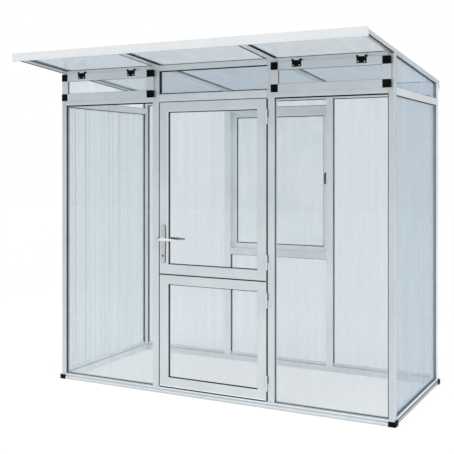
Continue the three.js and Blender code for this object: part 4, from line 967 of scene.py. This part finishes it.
def front_strip(name, x0, x1, section, finish="seal", body="lower_leaf", base=0.0, a_axis=FRONT):
    """A section carried across the front of the wall; its second axis is up from the base."""
    start, end = (x0, WALL_FRONT, base), (x1, WALL_FRONT, base)
    run_strip(name, start, end, a_axis, Z_AXIS, section, finish, body)


# Lips under the vents, bearing on the wall
rest = [
    (-0.2, 2038.6), (13.0, 2038.6), (13.6, 2039.4), (13.6, 2042.0), (12.8, 2042.6), (-0.2, 2042.6),
]
front_strip("vent_rest_left", -1232.0, -450.0, rest, "across", "house")
front_strip("vent_rest_right", 450.0, 1232.0, rest, "across", "house")

# Sweep under the lower leaf with the strip that holds it, whose bright tone is a painted highlight
# along the leaf's bottom edge
sweep = [(-0.4, 42.5), (1.5, 42.5), (2.0, 43.6), (2.0, 49.4), (-0.4, 49.4)]
holder = [(-0.4, 49.2), (2.4, 49.2), (2.4, 54.0), (1.6, 55.4), (-0.4, 55.4)]
front_strip("leaf_sweep", -405.0, 398.0, sweep)
front_strip("leaf_sweep_holder", -405.0, 398.0, holder, "across_bright")

# Flat black strips beside the gap on the hinge side and under the gap between the leaves: painted
# shade that widens the dark line of each gap
side_strip = [(0.0, 0.3), (4.8, 0.3), (4.8, -0.35), (4.5, -0.55), (0.3, -0.55), (0.0, -0.35)]
x = DOOR_HALF + 0.2
run_strip(
    "door_side_strip", (x, WALL_FRONT, DOOR_LOW), (x, WALL_FRONT, DOOR_HIGH), X_AXIS, Y_AXIS,
    side_strip,
)
split_strip = [(0.3, 0.0), (0.3, 3.4), (-0.4, 3.4), (-0.7, 3.0), (-0.7, 0.4), (-0.4, 0.0)]
front_strip("leaf_split_strip", -405.5, 400.0, split_strip, base=LEAF_SPLIT - 3.5, a_axis=Y_AXIS)


def gap_seal(name, start, end, lift_axis, lift, body):
    """Seal in a gap round a leaf: a bulb as thick as lift on a strip ten wide. Start and end are
    across and up."""
    section = [
        (0.0, -0.1), (10.0, -0.1), (10.0, 0.4 * lift), (8.5, 0.85 * lift), (5.0, lift),
        (1.5, 0.85 * lift), (0.0, 0.4 * lift),
    ]
    (x0, z0), (x1, z1) = start, end
    run_strip(name, (x0, GAP_Y, z0), (x1, GAP_Y, z1), REAR, lift_axis, section, "seal", body)


GAP_Y, LEAF_X = -309.7, 406.0
free_low, free_high = (-DOOR_HALF, DOOR_LOW), (-DOOR_HALF, DOOR_HIGH)
gap_seal("door_gap_seal_free_side", free_low, free_high, X_AXIS, 2.8, "house")
gap_seal("door_gap_seal_top", (-405.0, 2010.0), (405.0, 2010.0), -Z_AXIS, 2.3, "house")
gap_seal("door_gap_seal_sill", (-405.0, 42.0), (405.0, 42.0), Z_AXIS, 1.1, "house")
gap_seal("leaf_seal_split", (-403.0, LEAF_SPLIT), (403.0, LEAF_SPLIT), Z_AXIS, 2.3, "lower_leaf")
gap_seal("leaf_seal_lower", (LEAF_X, DOOR_LOW), (LEAF_X, 817.0), X_AXIS, 2.5, "lower_leaf")
gap_seal("leaf_seal_upper", (LEAF_X, 825.0), (LEAF_X, DOOR_HIGH), X_AXIS, 2.5, "upper_leaf")


# ---------------------------------------------------------------- corner joints of the sashes
CORNER_LEVELS = [
    (0.0, 1.2), (0.5, 2.0), (1.3, 2.4), (5.0, 2.4), (6.0, 2.0), (6.6, 1.75), (23.0, 1.75),
]


def sash_corners(label, node, body, out, face_y, depth):
    """Black moulded corner joints, square, with a raised rim, let over each corner of a sash."""
    low, high = box_mm(node)
    half, over = 24.8, 0.3
    inset = half - over - SASH_FACE
    (x0, _, z0), (x1, _, z1) = low + inset, high - inset
    levels = [(0.0, -depth)] + CORNER_LEVELS
    for word_x, x in (("left", x0), ("right", x1)):
        for word_z, z in (("low", z0), ("high", z1)):
            name, centre = f"{label}_corner_{word_z}_{word_x}", np.array([x, face_y, z])
            raised(name, centre, out, Z_AXIS, (half, half, 2.0), levels, "black", body)


sash_corners("left_vent", "vent_left_pane", "left_vent", FRONT, -334.0, 22.4)
sash_corners("right_vent", "vent_right_pane", "right_vent", FRONT, -334.0, 22.4)
sash_corners("window", "window_pane", "window", REAR, 838.0, 9.0)


# ---------------------------------------------------------------- strap hinges of the sashes
def strap_hinge(label, pin, along, out, past, body):
    """Black strap hinge. along is the pin's way, out points away from the wall, past from the
    sash over its edge. The plate, its screws and the shield over the pin move with the sash; two
    ears stay on the wall. An ear is lofted along the pin through rings: a half circle on the
    sash's side of the pin, and past it a half ellipse that rises by its swell."""
    across = np.cross(past, out)
    plate_middle = pin - 25.4 * past + 3.5 * out
    raised(
        f"{label}_plate", plate_middle, out, past, (31.6, 18.2, 3.0),
        [(0.0, -0.3), (0.0, 2.7), (0.5, 3.4), (1.4, 3.8), (12.0, 4.1)], "black", body,
    )
    raised(
        f"{label}_shield", pin - 5.6 * past + 3.3 * out, out, past, (17.9, 3.6, 1.0),
        [(0.3, 0.0), (0.0, 0.4), (0.0, 3.8), (0.6, 4.6), (2.0, 4.8)], "black", body,
    )
    for k, place in enumerate((-21.5, 19.5)):
        head = plate_middle + place * across - 8.6 * past + 3.9 * out
        pan_screw(f"{label}_screw_{k + 1}", head, out, 3.9, body)
    turn = np.linspace(0.0, 2 * math.pi, 28, endpoint=False)
    for word, way in (("a", -1.0), ("b", 1.0)):
        rings = []
        for shift, swell, inset in (
            (18.7, 5.8, 0.7), (19.3, 6.4, 0.0), (26.0, 6.6, 0.0), (34.6, 7.4, 0.0),
            (35.4, 7.4, 0.8),
        ):
            half = 6.7 - inset
            rise = np.where(np.sin(turn) > 0.0, swell - inset, half)
            ear = np.stack([half * np.cos(turn), rise * np.sin(turn)], axis=1)
            rings.append(pin + way * shift * along + ear @ np.array([out, past]))
        loft(f"{label}_ear_{word}", rings, "black", "house")


for side, sign in SIDES.items():
    for k, x in enumerate((627.0, 1055.0)):
        pin = np.array([sign * x, -330.5, 2241.0])
        strap_hinge(f"{side}_vent_hinge_{k + 1}", pin, X_AXIS, FRONT, Z_AXIS, f"{side}_vent")
for k, z in enumerate((1043.0, 1854.0)):
    pin = np.array([-431.0, 834.5, z])
    strap_hinge(f"window_hinge_{k + 1}", pin, Z_AXIS, REAR, -X_AXIS, "window")


# ---------------------------------------------------------------- door hinges
BARREL = 8.4
lower_barrel = [
    (2.0, -51.2), (5.6, -50.7), (7.4, -49.6), (BARREL, -47.6), (BARREL, -46.0), (7.9, -45.6),
    (7.9, -45.0), (BARREL, -44.6), (BARREL, -1.4), (8.0, -0.5), (7.4, -0.25), (2.0, -0.25),
]
upper_barrel = [(radius, -height) for radius, height in lower_barrel]
hinge_levels = [(0.0, 0.0), (0.0, 3.7), (0.4, 4.3), (1.1, 4.6), (6.0, 4.6)]
for k, middle in enumerate(HINGE_MIDDLES):
    label = f"door_hinge_{k + 1}"
    leaf = "lower_leaf" if middle < LEAF_SPLIT else "upper_leaf"
    centre = np.array([HINGE_X, HINGE_Y, middle])
    turned(f"{label}_lower_barrel", centre, Z_AXIS, lower_barrel, "upright", "house")
    turned(f"{label}_upper_barrel", centre, Z_AXIS, upper_barrel, "upright", leaf)
    for word, hand, height, body in (("post", 1.0, -25.0, "house"), ("leaf", -1.0, 25.0, leaf)):
        plate = np.array([HINGE_X + hand * 16.9, WALL_FRONT - 0.2, middle + height])
        size = (8.6, 24.4, 2.5)
        name = f"{label}_{word}_plate"
        raised(name, plate, FRONT, Z_AXIS, size, hinge_levels, "upright", body)
        for word_z, up in (("low", -15.0), ("high", 15.0)):
            head = plate + np.array([hand * 1.0, -4.5, up])
            pan_screw(f"{label}_{word}_screw_{word_z}", head, FRONT, 3.4, body)

# Black packing in the gap between each hinge and its post, which also stands in as painted shadow
# beside the barrel
packing = [(0.0, 0.2), (3.0, 0.2), (3.0, -4.2), (2.4, -5.0), (0.6, -5.0), (0.0, -4.2)]
for k, middle in enumerate(HINGE_MIDDLES):
    base, half = np.array([HINGE_X + 8.9, WALL_FRONT, middle]), 48.0 * Z_AXIS
    run_strip(f"door_hinge_{k + 1}_packing", base - half, base + half, X_AXIS, Y_AXIS, packing)


# ---------------------------------------------------------------- lever set
def lever_set(word, plate_y, out, metal, reach):
    """A long plate with rounded ends, its screws, lock cylinder and lever, on one face of the
    leaf. The lever's bow towards the leaf is half a sine wave over its reach."""
    low, high = box_mm(f"escutcheon_{word}")
    middle = np.array([LEVER_X, plate_y, (low[2] + high[2]) / 2])
    plate = raised(
        f"lever_plate_{word}", middle, out, Z_AXIS, (15.6, 131.6, 15.4),
        [(0.0, 0.0), (0.0, 4.4), (0.35, 5.6), (1.2, 6.6), (2.6, 7.1), (4.2, 7.2), (12.0, 7.2)],
        "steel_upright", "upper_leaf", smooth=24.0, steps=14,
    )
    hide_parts(f"escutcheon_{word}")
    # A black gasket under the plate, set off towards +X, whose rim shows on one side only: a
    # painted shadow of the plate
    raised(
        f"lever_plate_{word}_gasket", middle + 1.7 * X_AXIS, out, Z_AXIS, (17.3, 132.6, 16.6),
        [(0.3, -0.2), (0.0, 0.2), (0.0, 1.3), (0.5, 1.7)], "seal", "upper_leaf",
        smooth=24.0, steps=14,
    )
    face = plate_y + 7.2 * out[1]
    collar = [
        (8.9, -0.6), (12.4, -0.6), (12.4, 0.8), (11.9, 1.5), (11.0, 1.8), (9.7, 1.8), (8.9, 1.4),
    ]
    root = np.array([LEVER_X, face, LEVER_Z])
    ring_collar(f"lever_collar_{word}", root, out, collar, "steel", "upper_leaf")
    for word_z, z in (("low", low[2] + 11.0), ("high", high[2] - 11.0)):
        head = np.array([LEVER_X, face - 0.1 * out[1], z])
        pan_screw(f"lever_plate_{word}_screw_{word_z}", head, out, 3.6, "upper_leaf")
    lock = root - 114.0 * Z_AXIS
    turned(
        f"lock_cylinder_{word}", lock, out,
        [(9.6, -1.0), (9.6, 0.6), (9.1, 1.1), (8.7, 1.2), (8.7, 2.4), (8.3, 2.8), (3.0, 2.9)],
        "steel_shaded", "upper_leaf",
    )
    raised(
        f"keyway_{word}", lock + 2.7 * out, out, Z_AXIS, (1.1, 4.2, 1.0),
        [(0.0, 0.0), (0.0, 0.4), (0.3, 0.55)], "black", "upper_leaf",
    )
    root = root - 5.0 * out
    neck = [
        (7.8, 0.0), (7.8, 8.0), (7.2, 12.0), (6.8, 20.0), (7.0, 34.0), (7.6, 42.0), (7.2, 47.0),
        (5.0, 49.6),
    ]
    turned(f"lever_neck_{word}", root, out, neck, metal, "handle")
    spans = ((-21.0, -16.0, 6), (-13.0, reach - 10.0, 22), (reach - 7.0, reach, 7))
    along = np.concatenate([np.linspace(*span) for span in spans])
    bow = 3.0 * np.sin(np.clip(along / reach, 0.0, 1.0) * math.pi)
    path = root + along[:, None] * X_AXIS + (44.0 - bow)[:, None] * out
    sizes = half_widths(
        along, [(-21.0, 5.0), (0.0, 6.4), (30.0, 4.4), (reach, 3.9)],
        [(-21.0, 7.0), (0.0, 8.6), (40.0, 8.8), (reach, 6.6)],
    )
    near_end = rounded_end(np.ones((len(path), 1)), path[::-1], 9.0)[::-1]
    sizes = rounded_end(sizes, path, 8.0) * near_end
    return swept(f"lever_{word}", path, sizes, Z_AXIS, metal, "handle")


outer_lever = lever_set("outer", -310.8, FRONT, "steel", 113.0)
lever_set("inner", -274.2, REAR, "steel_shaded", 126.0)
raised(
    "lever_spindle", np.array([LEVER_X, -319.0, LEVER_Z]), REAR, Z_AXIS, (3.9, 3.9, 0.5),
    [(0.4, 0.0), (0.0, 0.5), (0.0, 52.5), (0.4, 53.0)], "steel", "handle",
)
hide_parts("door_handle")

# Bolt that joins the leaves
bolt = np.array([-372.0, -265.5, 725.0])
rod = turned(
    "leaf_bolt_rod", bolt, Z_AXIS,
    [(3.2, 0.0), (4.4, 0.7), (4.7, 1.8), (4.7, 85.0), (4.2, 86.8), (3.0, 88.0)],
    "steel_upright", "joining_bolt",
)
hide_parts("leaf_bolt")
turned(
    "leaf_bolt_knob", bolt + 5.0 * Z_AXIS, REAR,
    [(2.8, 1.0), (2.8, 7.0), (3.4, 8.6), (4.6, 10.0), (5.0, 12.0), (4.8, 14.2), (3.8, 15.5),
     (1.6, 16.0)],
    "steel", "joining_bolt",
)

# ---------------------------------------------------------------- window handle
rose = np.array([392.0, 816.0, 1499.5])
turned(
    "window_rose", rose + 0.3 * Y_AXIS, FRONT,
    [(16.0, 0.0), (16.0, 2.6), (15.4, 3.7), (13.8, 4.5), (9.0, 4.6)], "black", "window",
)
path = lever_path(rose - 5.0 * Y_AXIS, FRONT, -Z_AXIS, 14.0, 76.0, 8.0)
share = np.linspace(0.0, 1.0, len(path))
sizes = half_widths(
    share, [(0.0, 6.4), (0.3, 6.4), (0.55, 4.4), (1.0, 4.0)],
    [(0.0, 6.6), (0.3, 7.0), (0.55, 9.6), (1.0, 7.8)],
)
sizes = rounded_end(sizes, path, 8.0)
grip = swept("window_grip", path, sizes, X_AXIS, "grey", "window_grip")
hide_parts("window_handle")


# ---------------------------------------------------------------- floor, light and camera
def floor_piece(half, drop):
    """A flat square far wider than the view, one grid cell a metre, just under the feet."""
    lines = np.arange(-half, half + 1.0)
    count = len(lines)
    spots = np.stack(np.meshgrid(lines, lines, indexing="ij"), axis=-1).reshape(-1, 2)
    points = np.concatenate([spots, np.full((len(spots), 1), -drop)], axis=1)
    i, j = np.meshgrid(np.arange(count - 1), np.arange(count - 1), indexing="ij")
    first = (i * count + j).reshape(-1)
    faces = np.stack([first, first + count, first + count + 1, first + 1], axis=1)
    mesh = bpy.data.meshes.new("studio_floor")
    mesh.from_pydata(points.tolist(), [], faces.tolist())
    mesh.materials.append(studio_floor("floor_paint"))
    floor = bpy.data.objects.new("studio_floor", mesh)
    bpy.context.scene.collection.objects.link(floor)


floor_piece(20.0, 0.0004)

# White where it is seen, and a dimmer cool light where it only lights the house
studio = Finish("studio", "worlds")
path = studio.add("LightPath").outputs
seen = studio.math("MAXIMUM", path["Is Camera Ray"], path["Is Transmission Ray"])
white = studio.shader("Background", Color=rgb(1.0, 1.0, 1.0), Strength=1.0)
ambient = studio.shader("Background", Color=rgb(0.93, 0.965, 1.0), Strength=0.65)
bpy.context.scene.world = studio.finish(studio.blend(seen, ambient, white))


def soft_sun(name, towards, strength, spread, colour):
    """A wide, soft light from far away that shines along a direction."""
    light = bpy.data.lights.new(name, "SUN")
    light.energy = strength
    light.angle = math.radians(spread)
    light.color = colour
    lamp = bpy.data.objects.new(name, light)
    bpy.context.scene.collection.objects.link(lamp)
    across, ahead, up = np.asarray(towards, float) / np.linalg.norm(towards)
    lamp.rotation_euler = (math.acos(-up), 0.0, math.atan2(-across, ahead))


soft_sun("key_light", (0.3, 0.74, -0.8), 0.85, 50.0, (0.98, 0.995, 0.985))
soft_sun("side_light", (-0.85, 0.25, -0.45), 1.02, 70.0, (0.95, 0.98, 1.0))

# The camera: its focal length and the row of the horizon are in pixels of a square picture
PICTURE, FOCAL_LENGTH, HORIZON, SENSOR = 454.0, 835.3973, 162.63, 36.0
camera_data = bpy.data.cameras.new("camera")
camera_data.sensor_width = SENSOR
camera_data.lens = FOCAL_LENGTH / PICTURE * SENSOR
camera_data.shift_y = -(PICTURE / 2 - HORIZON) / PICTURE
camera_data.clip_end = 100.0
camera = bpy.data.objects.new("camera", camera_data)
camera.location = (2.6673, -5.2297, 1.59)
camera.rotation_euler = (math.pi / 2, 0.0, 0.4779)
bpy.context.scene.collection.objects.link(camera)
bpy.context.scene.camera = camera
bpy.context.scene.view_settings.view_transform = "Standard"
bpy.context.scene.cycles.transparent_max_bounces = 48

bpy.context.view_layer.update()
